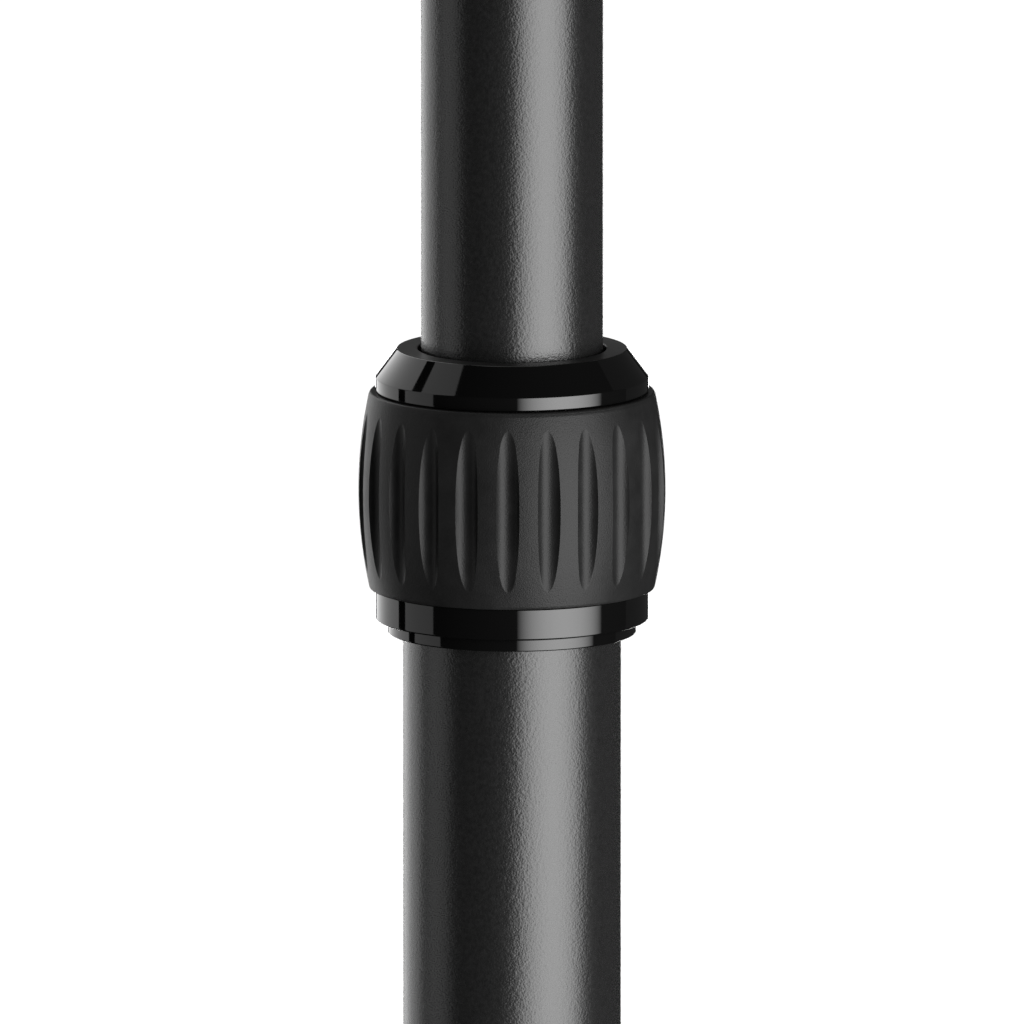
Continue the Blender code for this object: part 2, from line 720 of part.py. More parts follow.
def make_tip(datum):
    head_bottom = UPPER_TUBE_LENGTH + FIXED_GAP
    head_top = head_bottom + TIP_HEAD_HEIGHT
    head_radius = UPPER_RADIUS + TIP_HEAD_PROUD
    seat = STUD_RADIUS + FIXED_GAP
    seat_floor = head_top - STUD_SEAT_DEPTH
    spigot = UPPER_BORE - FIXED_GAP
    neck_start = head_top - (head_radius - TIP_NECK_RADIUS)
    plug = turned(
        "tip_plug",
        [
            (TIP_NECK_RADIUS, head_top),
            (head_radius, neck_start),
            (head_radius, head_bottom),
            (spigot, head_bottom),
            (spigot, UPPER_TUBE_LENGTH - TIP_SPIGOT_LENGTH),
            (seat / 2, UPPER_TUBE_LENGTH - TIP_SPIGOT_LENGTH),
            (seat / 2, seat_floor),
            (seat, seat_floor),
            (seat, head_top),
        ],
        BARE_ALUMINIUM,
        datum,
    )
    combine(plug, TIP_PIN_HOLES, "DIFFERENCE")
    outer = UPPER_RADIUS - THIN_GAP
    for number, angle in enumerate(around(2), start=1):
        name = f"tip_pin_{number}"
        height = UPPER_TUBE_LENGTH - TIP_PIN_DEPTH
        body = radial_pins_mesh(
            name, [angle], height, TIP_PIN_RADIUS, outer - TIP_PIN_LENGTH, outer, SMALL_ROUND
        )
        new_object(name, body, STEEL, datum)
    washer_bottom = head_top + THIN_GAP
    washer_top = washer_bottom + TIP_WASHER_HEIGHT
    pipe("tip_washer", TIP_NECK_RADIUS, STUD_RADIUS + FIXED_GAP, washer_bottom, washer_top, RUBBER, datum)
    make_mic_stud(datum, seat_floor + FIXED_GAP, head_top, head_top + STUD_REACH)


def make_mic_stud(datum, bottom, shoulder, top):
    """The 3/8 inch stud that microphone clips and shock mounts screw on to, pressed in by its plain shank."""
    core = STUD_RADIUS - STUD_THREAD_DEPTH
    stud = turned(
        "mic_stud",
        [
            (0, top),
            (core - STUD_CHAMFER / 2, top),
            (core, top - STUD_CHAMFER / 2),
            (core, shoulder),
            (STUD_RADIUS, shoulder),
            (STUD_RADIUS, bottom),
            (0, bottom),
        ],
        STEEL,
        datum,
        STUD_STEPS,
    )
    quarter_turns = math.floor(4 * (top - shoulder - 2 * STUD_CHAMFER) / STUD_PITCH)
    rib = helical_rib_mesh(
        "stud_thread",
        core - STUD_PITCH / 4,
        STUD_RADIUS,
        shoulder + STUD_CHAMFER,
        quarter_turns / 4,
        STUD_PITCH,
        STUD_RIB_ROOT_WIDTH,
        STUD_RIB_CREST_WIDTH,
        STUD_STEPS,
    )
    combine(stud, cutter("stud_thread", rib, datum), "UNION")
    socket_floor = top - STUD_SOCKET_DEPTH
    socket = prism_mesh("stud_socket", STUD_SOCKET_RADIUS, socket_floor, top + CUT_MARGIN, HEXAGON)
    combine(stud, cutter("stud_socket", socket, datum), "DIFFERENCE")


# ---------------------------------------------------------------- the pole
clear_scene()
PARTS = new_collection("boom_pole")
CUTTERS = new_collection("cutters", hidden=True)

ALUMINIUM = new_material("powder_coated_aluminium", (0.018, 0.018, 0.018), 0.45, 0.3)
BARE_ALUMINIUM = new_material("black_anodised_aluminium", (0.03, 0.03, 0.03), 0.35, 0.9)
GLOSS_PLASTIC = new_material("gloss_black_plastic", (0.004, 0.004, 0.004), 0.08)
HARD_PLASTIC = new_material("matt_black_plastic", (0.015, 0.015, 0.015), 0.5)
NYLON = new_material("natural_nylon", (0.75, 0.73, 0.66), 0.4)
RUBBER = new_material("black_rubber", (0.03, 0.03, 0.03), 0.7)
FOAM = new_material("black_foam", (0.02, 0.02, 0.02), 0.9)
STEEL = new_material("zinc_plated_steel", (0.55, 0.55, 0.56), 0.3, 1.0)

lower_section = new_datum("lower_section", 0)
lock_seat = new_datum("lock_seat", COLLAR_HEIGHT_ON_POLE)
lock_carrier = new_datum("lock_carrier", COLLAR_HEIGHT_ON_POLE)
lock_nut = new_datum("lock_nut", COLLAR_HEIGHT_ON_POLE)
guide = new_datum("guide", UPPER_TUBE_BOTTOM)
upper_section = new_datum("upper_section", UPPER_TUBE_BOTTOM)

SCREW_HOLES = cutter(
    "sleeve_screw_holes",
    radial_pins_mesh(
        "sleeve_screw_holes",
        around(SLEEVE_SCREW_COUNT, math.pi / 2),
        SLEEVE_SCREW_HEIGHT,
        SLEEVE_SCREW_RADIUS + FIXED_GAP,
        UPPER_RADIUS,
        FLANGE_RADIUS + CUT_MARGIN,
        SMALL_ROUND,
    ),
    lock_seat,
)
TIP_PIN_HOLES = cutter(
    "tip_pin_holes",
    radial_pins_mesh(
        "tip_pin_holes",
        around(2),
        UPPER_TUBE_LENGTH - TIP_PIN_DEPTH,
        TIP_PIN_RADIUS + FIXED_GAP,
        UPPER_RADIUS - TIP_PIN_LENGTH - FIXED_GAP,
        UPPER_RADIUS + CUT_MARGIN,
        SMALL_ROUND,
    ),
    upper_section,
)

make_lower_tube(lower_section)
make_butt(lower_section)
make_hand_grip(lower_section)
make_clamp_sleeve(lock_seat)
make_sleeve_screws(lock_seat)
make_collet(lock_carrier)
make_thrust_washer(lock_carrier)
make_nut_body(lock_nut)
make_nut_cap(lock_nut)
make_nut_grip(lock_nut)
make_guide_bush(guide)
make_upper_tube(upper_section)
make_inner_end_plug(upper_section)
make_tip(upper_section)

smoothing = smoothing_by_angle("smooth_by_angle", SHARP_ANGLE)
for part in PARTS.objects:
    if part.type == "MESH":
        part.modifiers.new("smooth", "NODES").node_group = smoothing
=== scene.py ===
"""Looks for the telescopic boom pole: fine surfaces, finishes, studio floor, lights and camera.

Every surface here is a grid of points worked out with numpy. Most are turned: rings of points about the
pole's axis, stacked along a profile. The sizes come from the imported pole's own pieces.
"""

import math

import bmesh
import bpy
import numpy as np
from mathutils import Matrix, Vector


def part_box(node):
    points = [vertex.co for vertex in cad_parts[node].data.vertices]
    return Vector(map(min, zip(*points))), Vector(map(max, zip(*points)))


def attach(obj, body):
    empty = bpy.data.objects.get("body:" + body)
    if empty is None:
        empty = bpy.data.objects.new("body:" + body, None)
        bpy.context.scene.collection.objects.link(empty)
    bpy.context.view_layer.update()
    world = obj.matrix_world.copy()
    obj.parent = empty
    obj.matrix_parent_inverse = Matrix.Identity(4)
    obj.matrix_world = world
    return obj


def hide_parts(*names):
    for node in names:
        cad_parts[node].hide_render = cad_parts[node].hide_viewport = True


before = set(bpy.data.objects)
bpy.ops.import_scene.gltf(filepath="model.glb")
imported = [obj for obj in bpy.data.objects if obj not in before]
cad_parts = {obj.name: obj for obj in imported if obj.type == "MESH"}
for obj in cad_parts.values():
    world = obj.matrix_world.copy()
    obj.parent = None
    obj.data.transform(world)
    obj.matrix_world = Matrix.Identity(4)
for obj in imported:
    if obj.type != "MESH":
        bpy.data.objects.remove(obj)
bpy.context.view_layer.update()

MM = 0.001
FULL_TURN = 2 * math.pi


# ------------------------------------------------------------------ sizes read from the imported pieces
def span(node):
    """The node's lowest and highest point along the pole."""
    low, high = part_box(node)
    return low.z, high.z


def radius_of(node):
    """The node's largest radius."""
    low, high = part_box(node)
    return max(high.x, high.y, -low.x, -low.y)


COLLAR_FOOT = span("clamp_sleeve")[0]
UPPER_RADIUS = radius_of("upper_tube")
LOWER_RADIUS = radius_of("lower_tube")
BAND_RADIUS = radius_of("nut_cap")
FLANGE_RADIUS = radius_of("clamp_sleeve")

FIXED_GAP = 0.3 * MM  # between pieces that are fixed to each other
SLIDE_GAP = 0.2 * MM  # between pieces that slide on each other
THIN_GAP = 0.15 * MM  # between flat faces that meet end to end
SNUG = 0.02 * MM  # where a fine piece comes closer to its neighbour than the plain one did
SOFT_FIT = 0.05 * MM  # between the soft sleeves and the tube that they hug

TUBE_WALL = 1.5 * MM
TUBE_EDGE = 0.2 * MM
LOWER_BORE = LOWER_RADIUS - TUBE_WALL
UPPER_BORE = UPPER_RADIUS - TUBE_WALL
TUBE_SEAT_DEPTH = 15.0 * MM
SLEEVE_WALL = 1.0 * MM
CONE_HEIGHT = 7.5 * MM
CONE_RISE = 1.9 * MM
FLANGE_HEIGHT = 1.73 * MM
NUT_WALL = 1.0 * MM
THREAD_PITCH = 3.0 * MM
THREAD_TURNS = 2
THREAD_START = 8.5 * MM
THREAD_DEPTH = 0.6 * MM
RIB_HALF_ROOT = 0.65 * MM
RIB_FLANK = 0.3 * MM
SLEEVE_RADIUS = LOWER_RADIUS + FIXED_GAP + SLEEVE_WALL
NUT_BORE = SLEEVE_RADIUS + THREAD_DEPTH + FIXED_GAP
WAIST_RADIUS = NUT_BORE + NUT_WALL
CHAMFER_HEIGHT = 4.0 * MM
CHAMFER_INSET = 3.0 * MM

FLUTE_COUNT = 23
FLUTE_RADIUS = 1.85 * MM
FLUTE_DEPTH = 1.0 * MM
FLUTE_PHASE = math.radians(-91.6)
GRIP_CROWN = 1.5 * MM
GRIP_PROUD = 2.33 * MM  # of the barrel's crest, past the gloss bands

STUD_MAJOR = 4.7625 * MM  # 3/8 inch
STUD_PITCH = 1.5875 * MM  # 16 threads to the inch
STUD_MINOR = STUD_MAJOR - 0.6134 * STUD_PITCH  # a unified thread's depth
TIP_NECK = 10.5 * MM
BUTT_SHANK_HOLE = 2.5 * MM

SHARP_ANGLE = math.radians(38)  # a fold sharper than this stays a crisp edge
MERGE_DISTANCE = 0.0001 * MM
EASE_SHARE = 0.15  # of a corner's softening, from its arc's end to the extra point on the flat beside it
EASE_LIMIT = 0.02 * MM


# ------------------------------------------------------------------ surfaces
def ring_angles(count):
    """Equal angles once about the axis, without the repeated last one."""
    return np.arange(count) * FULL_TURN / count


def sheet_object(name, radii, heights, angles, wrap_rows, wrap_columns=True):
    """A piece from a grid: point (row, column) lies at radii[row, column] from the axis, turned by
    angles[row, column], at heights[row, column]. Rows wrap where the profile is a closed loop, and columns
    wrap about the axis. Coincident points, as at a pole or a seam, are merged, and all faces turn outwards.
    """
    rows, columns = np.broadcast_shapes(radii.shape, heights.shape, angles.shape)
    radii, heights, angles = (np.broadcast_to(a, (rows, columns)) for a in (radii, heights, angles))
    points = np.stack([radii * np.cos(angles), radii * np.sin(angles), heights], axis=-1).reshape(-1, 3)
    last_row = rows if wrap_rows else rows - 1
    last_column = columns if wrap_columns else columns - 1
    row, column = np.meshgrid(np.arange(last_row), np.arange(last_column), indexing="ij")
    next_row, next_column = (row + 1) % rows, (column + 1) % columns
    quads = np.stack(
        [
            row * columns + column,
            row * columns + next_column,
            next_row * columns + next_column,
            next_row * columns + column,
        ],
        axis=-1,
    ).reshape(-1, 4)
    mesh = bpy.data.meshes.new(name)
    mesh.from_pydata(points, [], quads)
    shell = bmesh.new()
    shell.from_mesh(mesh)
    bmesh.ops.remove_doubles(shell, verts=shell.verts, dist=MERGE_DISTANCE)
    bmesh.ops.dissolve_degenerate(shell, edges=shell.edges, dist=MERGE_DISTANCE / 10)
    bmesh.ops.recalc_face_normals(shell, faces=shell.faces)
    shell.to_mesh(mesh)
    shell.free()
    mesh.shade_smooth()
    mesh.set_sharp_from_angle(angle=SHARP_ANGLE)
    piece = bpy.data.objects.new(name, mesh)
    bpy.context.scene.collection.objects.link(piece)
    return piece


def softened(corners, longest, steps=6):
    """A closed profile as arrays of radius and height, from corners (radius, height, softening). Each corner
    with a softening becomes an arc of that radius, tangent to both of its sides, with one more point just
    outside each end of the arc so that the flats beside it shade flat. Sides longer than longest are divided
    evenly.
    """
    count = len(corners)
    traced = []
    for i, corner in enumerate(corners):
        here = np.array(corner[:2])
        if len(corner) < 3:
            traced.append(here)
            continue
        soft = corner[2]
        before = np.array(corners[i - 1][:2]) - here
        after = np.array(corners[(i + 1) % count][:2]) - here
        before /= np.linalg.norm(before)
        after /= np.linalg.norm(after)
        half = math.acos(np.clip(before @ after, -1, 1)) / 2
        reach = soft / math.tan(half)
        centre = here + (before + after) / np.linalg.norm(before + after) * soft / math.sin(half)
        start = here + before * reach - centre
        end = here + after * reach - centre
        turn = math.atan2(start[0] * end[1] - start[1] * end[0], start @ end)
        sweep = turn * np.linspace(0, 1, steps + 1)[:, None]
        across = np.array([-start[1], start[0]])
        arc = centre + np.cos(sweep) * start + np.sin(sweep) * across
        ease = min(EASE_SHARE * soft, EASE_LIMIT)
        traced += [here + before * (reach + ease), *arc, here + after * (reach + ease)]
    sides = []
    for start, end in zip(traced, traced[1:] + traced[:1]):
        parts = max(1, math.ceil(np.linalg.norm(end - start) / longest))
        sides.append(start + (end - start) * (np.arange(parts) / parts)[:, None])
    points = np.concatenate(sides)
    return points[:, 0], points[:, 1]


def turned(name, corners, segments=192, longest=12 * MM, steps=6, relief=None):
    """A turned piece: the softened profile carried once about the axis. A relief function takes the arrays of
    radius, height and angle and gives the change in radius."""
    radius, height = softened(corners, longest, steps)
    angle = ring_angles(segments)[None, :]
    radius, height = radius[:, None] + 0 * angle, height[:, None] + 0 * angle
    if relief:
        radius = radius + relief(radius, height, angle)
    return sheet_object(name, radius, height, angle, wrap_rows=True)


def ring_corners(outer, inner, bottom, top, outer_soft, inner_soft=None):
    """The four corners of a plain ring's profile, down the outer side and up the bore."""
    inner_soft = outer_soft if inner_soft is None else inner_soft
    return [
        (outer, top, outer_soft),
        (outer, bottom, outer_soft),
        (inner, bottom, inner_soft),
        (inner, top, inner_soft),
    ]


def split_ring(name, corners, gap, segments=160, longest=4 * MM):
    """A ring's profile carried about the axis from one side of its split to the other, gap wide, with both
    ends closed by a fan of faces to the profile's middle."""
    radius, height = softened(corners, longest)
    edge = gap / (2 * radius.max())
    angle = np.linspace(edge, FULL_TURN - edge, segments)
    angles = np.concatenate([angle[:1], angle, angle[-1:]])[None, :]
    middle = np.ones((len(radius), 1))
    around = np.ones((1, segments))
    radii = np.hstack([middle * radius.mean(), radius[:, None] * around, middle * radius.mean()])
    heights = np.hstack([middle * height.mean(), height[:, None] * around, middle * height.mean()])
    return sheet_object(name, radii, heights, angles, wrap_rows=True, wrap_columns=False)


def level_rows(profile, angle):
    """A profile's radii and heights as grids, with one level row for each of its points. A point's radius may
    itself be an array over the angles, as a hexagon's is."""
    radii = np.array([radius + 0 * angle for radius, _ in profile])
    heights = np.array([height + 0 * angle for _, height in profile])
    return radii, heights


def smooth_step(value, low, high):
    """0 below low, 1 above high, and a smooth rise between."""
    share = np.clip((value - low) / (high - low), 0, 1)
    return share * share * (3 - 2 * share)


def collar_rib(height, angle, start):
    """The rise of the collar's right-hand screw rib above its cylinder: a trapezium across the rib, whose
    middle climbs one pitch in each turn, faded out at both of its ends."""
    climbed = (height - start) / THREAD_PITCH - angle / FULL_TURN
    across = np.abs(climbed - np.round(climbed)) * THREAD_PITCH
    travel = np.round(climbed) + angle / FULL_TURN
    run_in = smooth_step(travel, -0.02, 0.04)
    run_out = smooth_step(-travel, -THREAD_TURNS - 0.02, -THREAD_TURNS + 0.04)
    return THREAD_DEPTH * np.clip((RIB_HALF_ROOT - across) / RIB_FLANK, 0, 1) * run_in * run_out


# ------------------------------------------------------------------ finishes
def new_finish(name):
    """An empty finish, its shader, and two functions: add makes a node, and link joins one to the shader."""
    made = bpy.data.materials.new(name)
    made.use_nodes = True
    tree = made.node_tree
    shader = tree.nodes["Principled BSDF"]

    def add(kind, links=None, **values):
        """A new node, with its links by input socket and its settings by name."""
        node = tree.nodes.new(kind)
        for key, value in values.items():
            if hasattr(node, key):
                setattr(node, key, value)
            else:
                node.inputs[key.replace("_", " ")].default_value = value
        for socket, source in (links or {}).items():
            tree.links.new(source, node.inputs[socket])
        return node

    def link(source, socket):
        """Joins a source to one of the shader's sockets."""
        tree.links.new(source, shader.inputs[socket])

    return made, shader, add, link


def set_shader(shader, **values):
    """Sets the shader's own sockets, each named with _ for its spaces."""
    for key, value in values.items():
        shader.inputs[key.replace("_", " ")].default_value = value


def grey(value):
    """A neutral colour, from 0 for black to 1 for white."""
    return (value, value, value, 1)


def ramp(add, source, low, high, low_value, high_value):
    """A number that goes from low_value to high_value as the source goes from low to high."""
    node = add("ShaderNodeMapRange", {"Value": source})
    limits = {"From Min": low, "From Max": high, "To Min": low_value, "To Max": high_value}
    for socket, value in limits.items():
        node.inputs[socket].default_value = value
    return node.outputs["Result"]


def blend_colours(add, source, dark, light):
    """A colour between two, by a number from 0 to 1."""
    node = add("ShaderNodeMix", data_type="RGBA")
    node.inputs["A"].default_value = dark
    node.inputs["B"].default_value = light
    node.id_data.links.new(source, node.inputs["Factor"])
    return node.outputs["Result"]


def blend_greys(add, source, dark, light):
    """A grey between two, by a number from 0 to 1."""
    return blend_colours(add, source, grey(dark), grey(light))


def noise(add, place, scale, detail=2.0, roughness=0.5):
    """Smooth noise from 0 to 1, with about scale blotches to the metre."""
    node = add("ShaderNodeTexNoise", {"Vector": place})
    node.inputs["Scale"].default_value = scale
    node.inputs["Detail"].default_value = detail
    node.inputs["Roughness"].default_value = roughness
    return node.outputs["Fac"]


def bump(add, height, distance, below=None):
    """The surface's normal with a relief of that distance on it, over the relief below."""
    node = add("ShaderNodeBump", {"Height": height})
    node.inputs["Distance"].default_value = distance
    node.inputs["Strength"].default_value = 1.0
    if below:
        node.id_data.links.new(below, node.inputs["Normal"])
    return node.outputs["Normal"]


def powder_coat_finish():
    """Fine-textured black powder coat: packed grains about 0.3 mm across over a softer orange peel."""
    made, shader, add, link = new_finish("powder_coat_black")
    set_shader(shader, Specular_IOR_Level=0.54)
    place = add("ShaderNodeTexCoord").outputs["Object"]
    grains = add("ShaderNodeTexVoronoi", {"Vector": place}, feature="SMOOTH_F1")
    grains.inputs["Scale"].default_value = 3600
    grains.inputs["Smoothness"].default_value = 0.7
    fine = noise(add, place, 6500, 2)
    peel = noise(add, place, 1700, 2)
    link(blend_greys(add, ramp(add, peel, 0.3, 0.7, 0, 1), 0.0085, 0.0135), "Base Color")
    link(ramp(add, fine, 0.3, 0.7, 0.22, 0.3), "Roughness")
    normal = bump(add, peel, 0.00003)
    normal = bump(add, grains.outputs["Distance"], 0.000022, below=normal)
    link(bump(add, fine, 0.000006, below=normal), "Normal")
    return made


def gloss_plastic_finish():
    """Polished black moulding: faint rings from the mould's turning, and a trace of handling in its gloss."""
    made, shader, add, link = new_finish("gloss_black_moulding")
    set_shader(shader, Base_Color=grey(0.0032), Specular_IOR_Level=0.5)
    place = add("ShaderNodeTexCoord").outputs["Object"]
    smear = noise(add, place, 160, 4, 0.6)
    link(ramp(add, smear, 0.35, 0.75, 0.035, 0.075), "Roughness")
    stretched = add("ShaderNodeMapping", {"Vector": place})
    stretched.inputs["Scale"].default_value = (30, 30, 3600)
    rings = noise(add, stretched.outputs["Vector"], 1, 2)
    wave = noise(add, place, 90, 1)
    link(bump(add, rings, 0.0000012, below=bump(add, wave, 0.000012)), "Normal")
    return made


def satin_plastic_finish(name, base, low, high):
    """Spark-eroded black moulding: a fine even grain that breaks up its reflections."""
    made, shader, add, link = new_finish(name)
    place = add("ShaderNodeTexCoord").outputs["Object"]
    fine = noise(add, place, 5200, 3)
    worn = noise(add, place, 210, 4, 0.6)
    link(blend_greys(add, ramp(add, worn, 0.3, 0.7, 0, 1), base * 0.85, base * 1.2), "Base Color")
    link(ramp(add, worn, 0.3, 0.7, low, high), "Roughness")
    link(bump(add, fine, 0.000012), "Normal")
    return made


def grip_rubber_finish():
    """Soft black rubber with a fine moulded grain and a slight bloom in patches."""
    made, shader, add, link = new_finish("grip_rubber_black")
    set_shader(shader, Specular_IOR_Level=0.165)
    place = add("ShaderNodeTexCoord").outputs["Object"]
    fine = noise(add, place, 5200, 2)
    bloom = noise(add, place, 260, 4, 0.6)
    link(blend_greys(add, ramp(add, bloom, 0.3, 0.7, 0, 1), 0.0085, 0.0125), "Base Color")
    link(ramp(add, bloom, 0.3, 0.7, 0.36, 0.41), "Roughness")
    link(bump(add, fine, 0.000036, below=bump(add, bloom, 0.00002)), "Normal")
    return made


def butt_rubber_finish():
    """Harder black rubber, greyed a little in patches."""
    made, shader, add, link = new_finish("butt_rubber_black")
    set_shader(shader, Specular_IOR_Level=0.35)
    place = add("ShaderNodeTexCoord").outputs["Object"]
    fine = noise(add, place, 3800, 3)
    dust = noise(add, place, 170, 5, 0.65)
    link(blend_greys(add, ramp(add, dust, 0.35, 0.75, 0, 1), 0.011, 0.022), "Base Color")
    link(ramp(add, dust, 0.3, 0.7, 0.48, 0.62), "Roughness")
    link(bump(add, fine, 0.00002, below=bump(add, dust, 0.00004)), "Normal")
    return made


def foam_finish():
    """Closed-cell foam: small round cells cut open at the skin, between fine walls, with painted shade
    darkening the hollow of each cell.
    """
    made, shader, add, link = new_finish("closed_cell_foam")
    set_shader(shader, Specular_IOR_Level=0.2, Sheen_Weight=0.15, Sheen_Roughness=0.5)
    place = add("ShaderNodeTexCoord").outputs["Object"]
    cells = add("ShaderNodeTexVoronoi", {"Vector": place}, feature="F1")
    cells.inputs["Scale"].default_value = 1500
    small = add("ShaderNodeTexVoronoi", {"Vector": place}, feature="F1")
    small.inputs["Scale"].default_value = 3400
    patch = noise(add, place, 120, 4, 0.6)
    # painted shade: the colour darkens towards each cell's middle, where its hollow is deepest
    skin = ramp(add, cells.outputs["Distance"], 0.1, 0.75, 0, 1)
    link(blend_greys(add, skin, 0.008, 0.021), "Base Color")
    link(ramp(add, patch, 0.3, 0.7, 0.74, 0.9), "Roughness")
    normal = bump(add, patch, 0.00025)
    normal = bump(add, cells.outputs["Distance"], 0.0002, below=normal)
    link(bump(add, small.outputs["Distance"], 0.00006, below=normal), "Normal")
    return made


def turned_metal_finish(name, base, metallic, low, high):
    """Metal with the fine rings that a lathe leaves about the axis, in its height and in its gloss."""
    made, shader, add, link = new_finish(name)
    set_shader(shader, Metallic=metallic)
    place = add("ShaderNodeTexCoord").outputs["Object"]
    apart = add("ShaderNodeSeparateXYZ", {"Vector": place})
    outward = add("ShaderNodeVectorMath", {0: place}, operation="MULTIPLY")
    outward.inputs[1].default_value = (1, 1, 0)
    radius = add("ShaderNodeVectorMath", {0: outward.outputs[0]}, operation="LENGTH")
    along = add("ShaderNodeMath", {0: apart.outputs["Z"], 1: radius.outputs["Value"]}, operation="ADD")
    ringed = add("ShaderNodeCombineXYZ", {"X": along.outputs[0]})
    rings = noise(add, ringed.outputs[0], 3000, 3)
    stain = noise(add, place, 300, 4, 0.6)
    link(blend_greys(add, ramp(add, stain, 0.3, 0.7, 0, 1), base * 0.9, base * 1.1), "Base Color")
    link(ramp(add, rings, 0.3, 0.7, low, high), "Roughness")
    link(bump(add, rings, 0.000006), "Normal")
    return made


def plated_steel_finish():
    """Bright zinc plate: a faint spangle in its colour and gloss."""
    made, shader, add, link = new_finish("zinc_plated_steel")
    set_shader(shader, Metallic=1.0)
    place = add("ShaderNodeTexCoord").outputs["Object"]
    spangle = noise(add, place, 700, 4, 0.6)
    fine = noise(add, place, 5200, 2)
    patches = ramp(add, spangle, 0.3, 0.7, 0, 1)
    link(blend_colours(add, patches, (0.46, 0.46, 0.45, 1), (0.62, 0.62, 0.63, 1)), "Base Color")
    link(ramp(add, spangle, 0.3, 0.7, 0.2, 0.36), "Roughness")
    link(bump(add, fine, 0.000004), "Normal")
    return made


def nylon_finish():
    """Natural moulded nylon: waxy off-white, slightly cloudy."""
    made, shader, add, link = new_finish("natural_nylon")
    set_shader(shader, Subsurface_Weight=0.15, Subsurface_Scale=0.002)
    place = add("ShaderNodeTexCoord").outputs["Object"]
    cloud = noise(add, place, 240, 4, 0.6)
    patches = ramp(add, cloud, 0.3, 0.7, 0, 1)
    link(blend_colours(add, patches, (0.68, 0.66, 0.58, 1), (0.76, 0.745, 0.69, 1)), "Base Color")
    link(ramp(add, cloud, 0.3, 0.7, 0.33, 0.48), "Roughness")
    link(bump(add, noise(add, place, 3000, 2), 0.00001), "Normal")
    return made


def floor_finish():
    """Plain matt white studio floor."""
    made, shader, add, link = new_finish("studio_floor_white")
    set_shader(shader, Roughness=0.9, Specular_IOR_Level=0.1)
    place = add("ShaderNodeTexCoord").outputs["Object"]
    link(blend_greys(add, ramp(add, noise(add, place, 3, 3), 0.3, 0.7, 0, 1), 0.86, 0.88), "Base Color")
    return made


POWDER_COAT = powder_coat_finish()
GLOSS_PLASTIC = gloss_plastic_finish()
SATIN_RIM = satin_plastic_finish("satin_black_rim", 0.016, 0.34, 0.4)
HARD_PLASTIC = satin_plastic_finish("grip_ring_moulding", 0.012, 0.34, 0.46)
GRIP_RUBBER = grip_rubber_finish()
BUTT_RUBBER = butt_rubber_finish()
FOAM = foam_finish()
ANODISED = turned_metal_finish("black_anodised_aluminium", 0.045, 0.85, 0.24, 0.38)
BLACK_STEEL = turned_metal_finish("black_oxide_steel", 0.06, 0.9, 0.32, 0.48)
PLATED_STEEL = plated_steel_finish()
NYLON = nylon_finish()


def place_piece(piece, body, slot, finishes, *nodes):
    """Gives a piece its finish and its body, and hides the imported nodes that it stands for. The slot is not
    used.
    """
    for finish in finishes if isinstance(finishes, list) else [finishes]:
        piece.data.materials.append(finish)
    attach(piece, body)
    if nodes:
        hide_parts(*nodes)
    return piece


# ------------------------------------------------------------------ tubes
def make_lower_tube():
    """The outer tube, a plain ring carried along the pole."""
    low, high = span("lower_tube")
    corners = ring_corners(LOWER_RADIUS, LOWER_BORE, low, high, TUBE_EDGE)
    tube = turned("lower_tube_coated", corners, segments=256)
    place_piece(tube, "lower_section", "powder_coat", POWDER_COAT, "lower_tube")


def make_upper_tube():
    """The upper tube, with the snap ring's groove near its foot and a dimple at each tip pin: the dimple's
    depth falls off smoothly with distance from the pin's centre."""
    low, high = span("upper_tube")
    ring_low, ring_high = span("snap_ring")
    groove = UPPER_RADIUS - 0.4 * MM
    groove_low, groove_high = ring_low - THIN_GAP, ring_high + THIN_GAP
    pin_low, pin_high = span("tip_pin_1")
    pin_height = (pin_low + pin_high) / 2
    corners = [
        (UPPER_RADIUS, high, TUBE_EDGE),
        (UPPER_RADIUS, pin_high + 1.5 * MM),
        (UPPER_RADIUS, pin_low - 1.5 * MM),
        (UPPER_RADIUS, groove_high),
        (groove, groove_high),
        (groove, groove_low),
        (UPPER_RADIUS, groove_low),
        (UPPER_RADIUS, low, TUBE_EDGE),
        (UPPER_BORE, low, TUBE_EDGE),
        (UPPER_BORE, high, TUBE_EDGE),
    ]
    radius, height = softened(corners, 12 * MM)

    reach = 2.0 * MM  # of the fine grid about a pin's centre
    fine = np.linspace(-reach, reach, 41)
    skin = UPPER_RADIUS - 0.01 * MM
    at = np.searchsorted(-height[: np.argmin(height)], -pin_height)
    kept = (np.abs(height - pin_height) > reach + 0.01 * MM) | (radius <= skin)

    def with_fine_rows(values, rows):
        return np.concatenate([values[:at][kept[:at]], rows, values[at:][kept[at:]]])

    radius = with_fine_rows(radius, np.full(len(fine), UPPER_RADIUS))
    height = with_fine_rows(height, pin_height - fine)
    near = fine / UPPER_RADIUS
    between = np.linspace(near[-1], math.pi + near[0], 110)[1:-1]
    angle = np.concatenate([near, between, math.pi + near, math.pi + between])
    radii = np.repeat(radius[:, None], len(angle), axis=1)
    aside = np.abs((angle + math.pi / 2) % math.pi - math.pi / 2) * UPPER_RADIUS
    away = np.hypot(aside[None, :], (height - pin_height)[:, None])
    dimple_depth, dimple_floor, dimple_rim = 0.22 * MM, 1.3 * MM, 1.6 * MM
    radii = radii - (radii > skin) * dimple_depth * (1 - smooth_step(away, dimple_floor, dimple_rim))
    tube = sheet_object("upper_tube_coated", radii, height[:, None], angle[None, :], wrap_rows=True)
    place_piece(tube, "upper_section", "powder_coat", POWDER_COAT, "upper_tube")


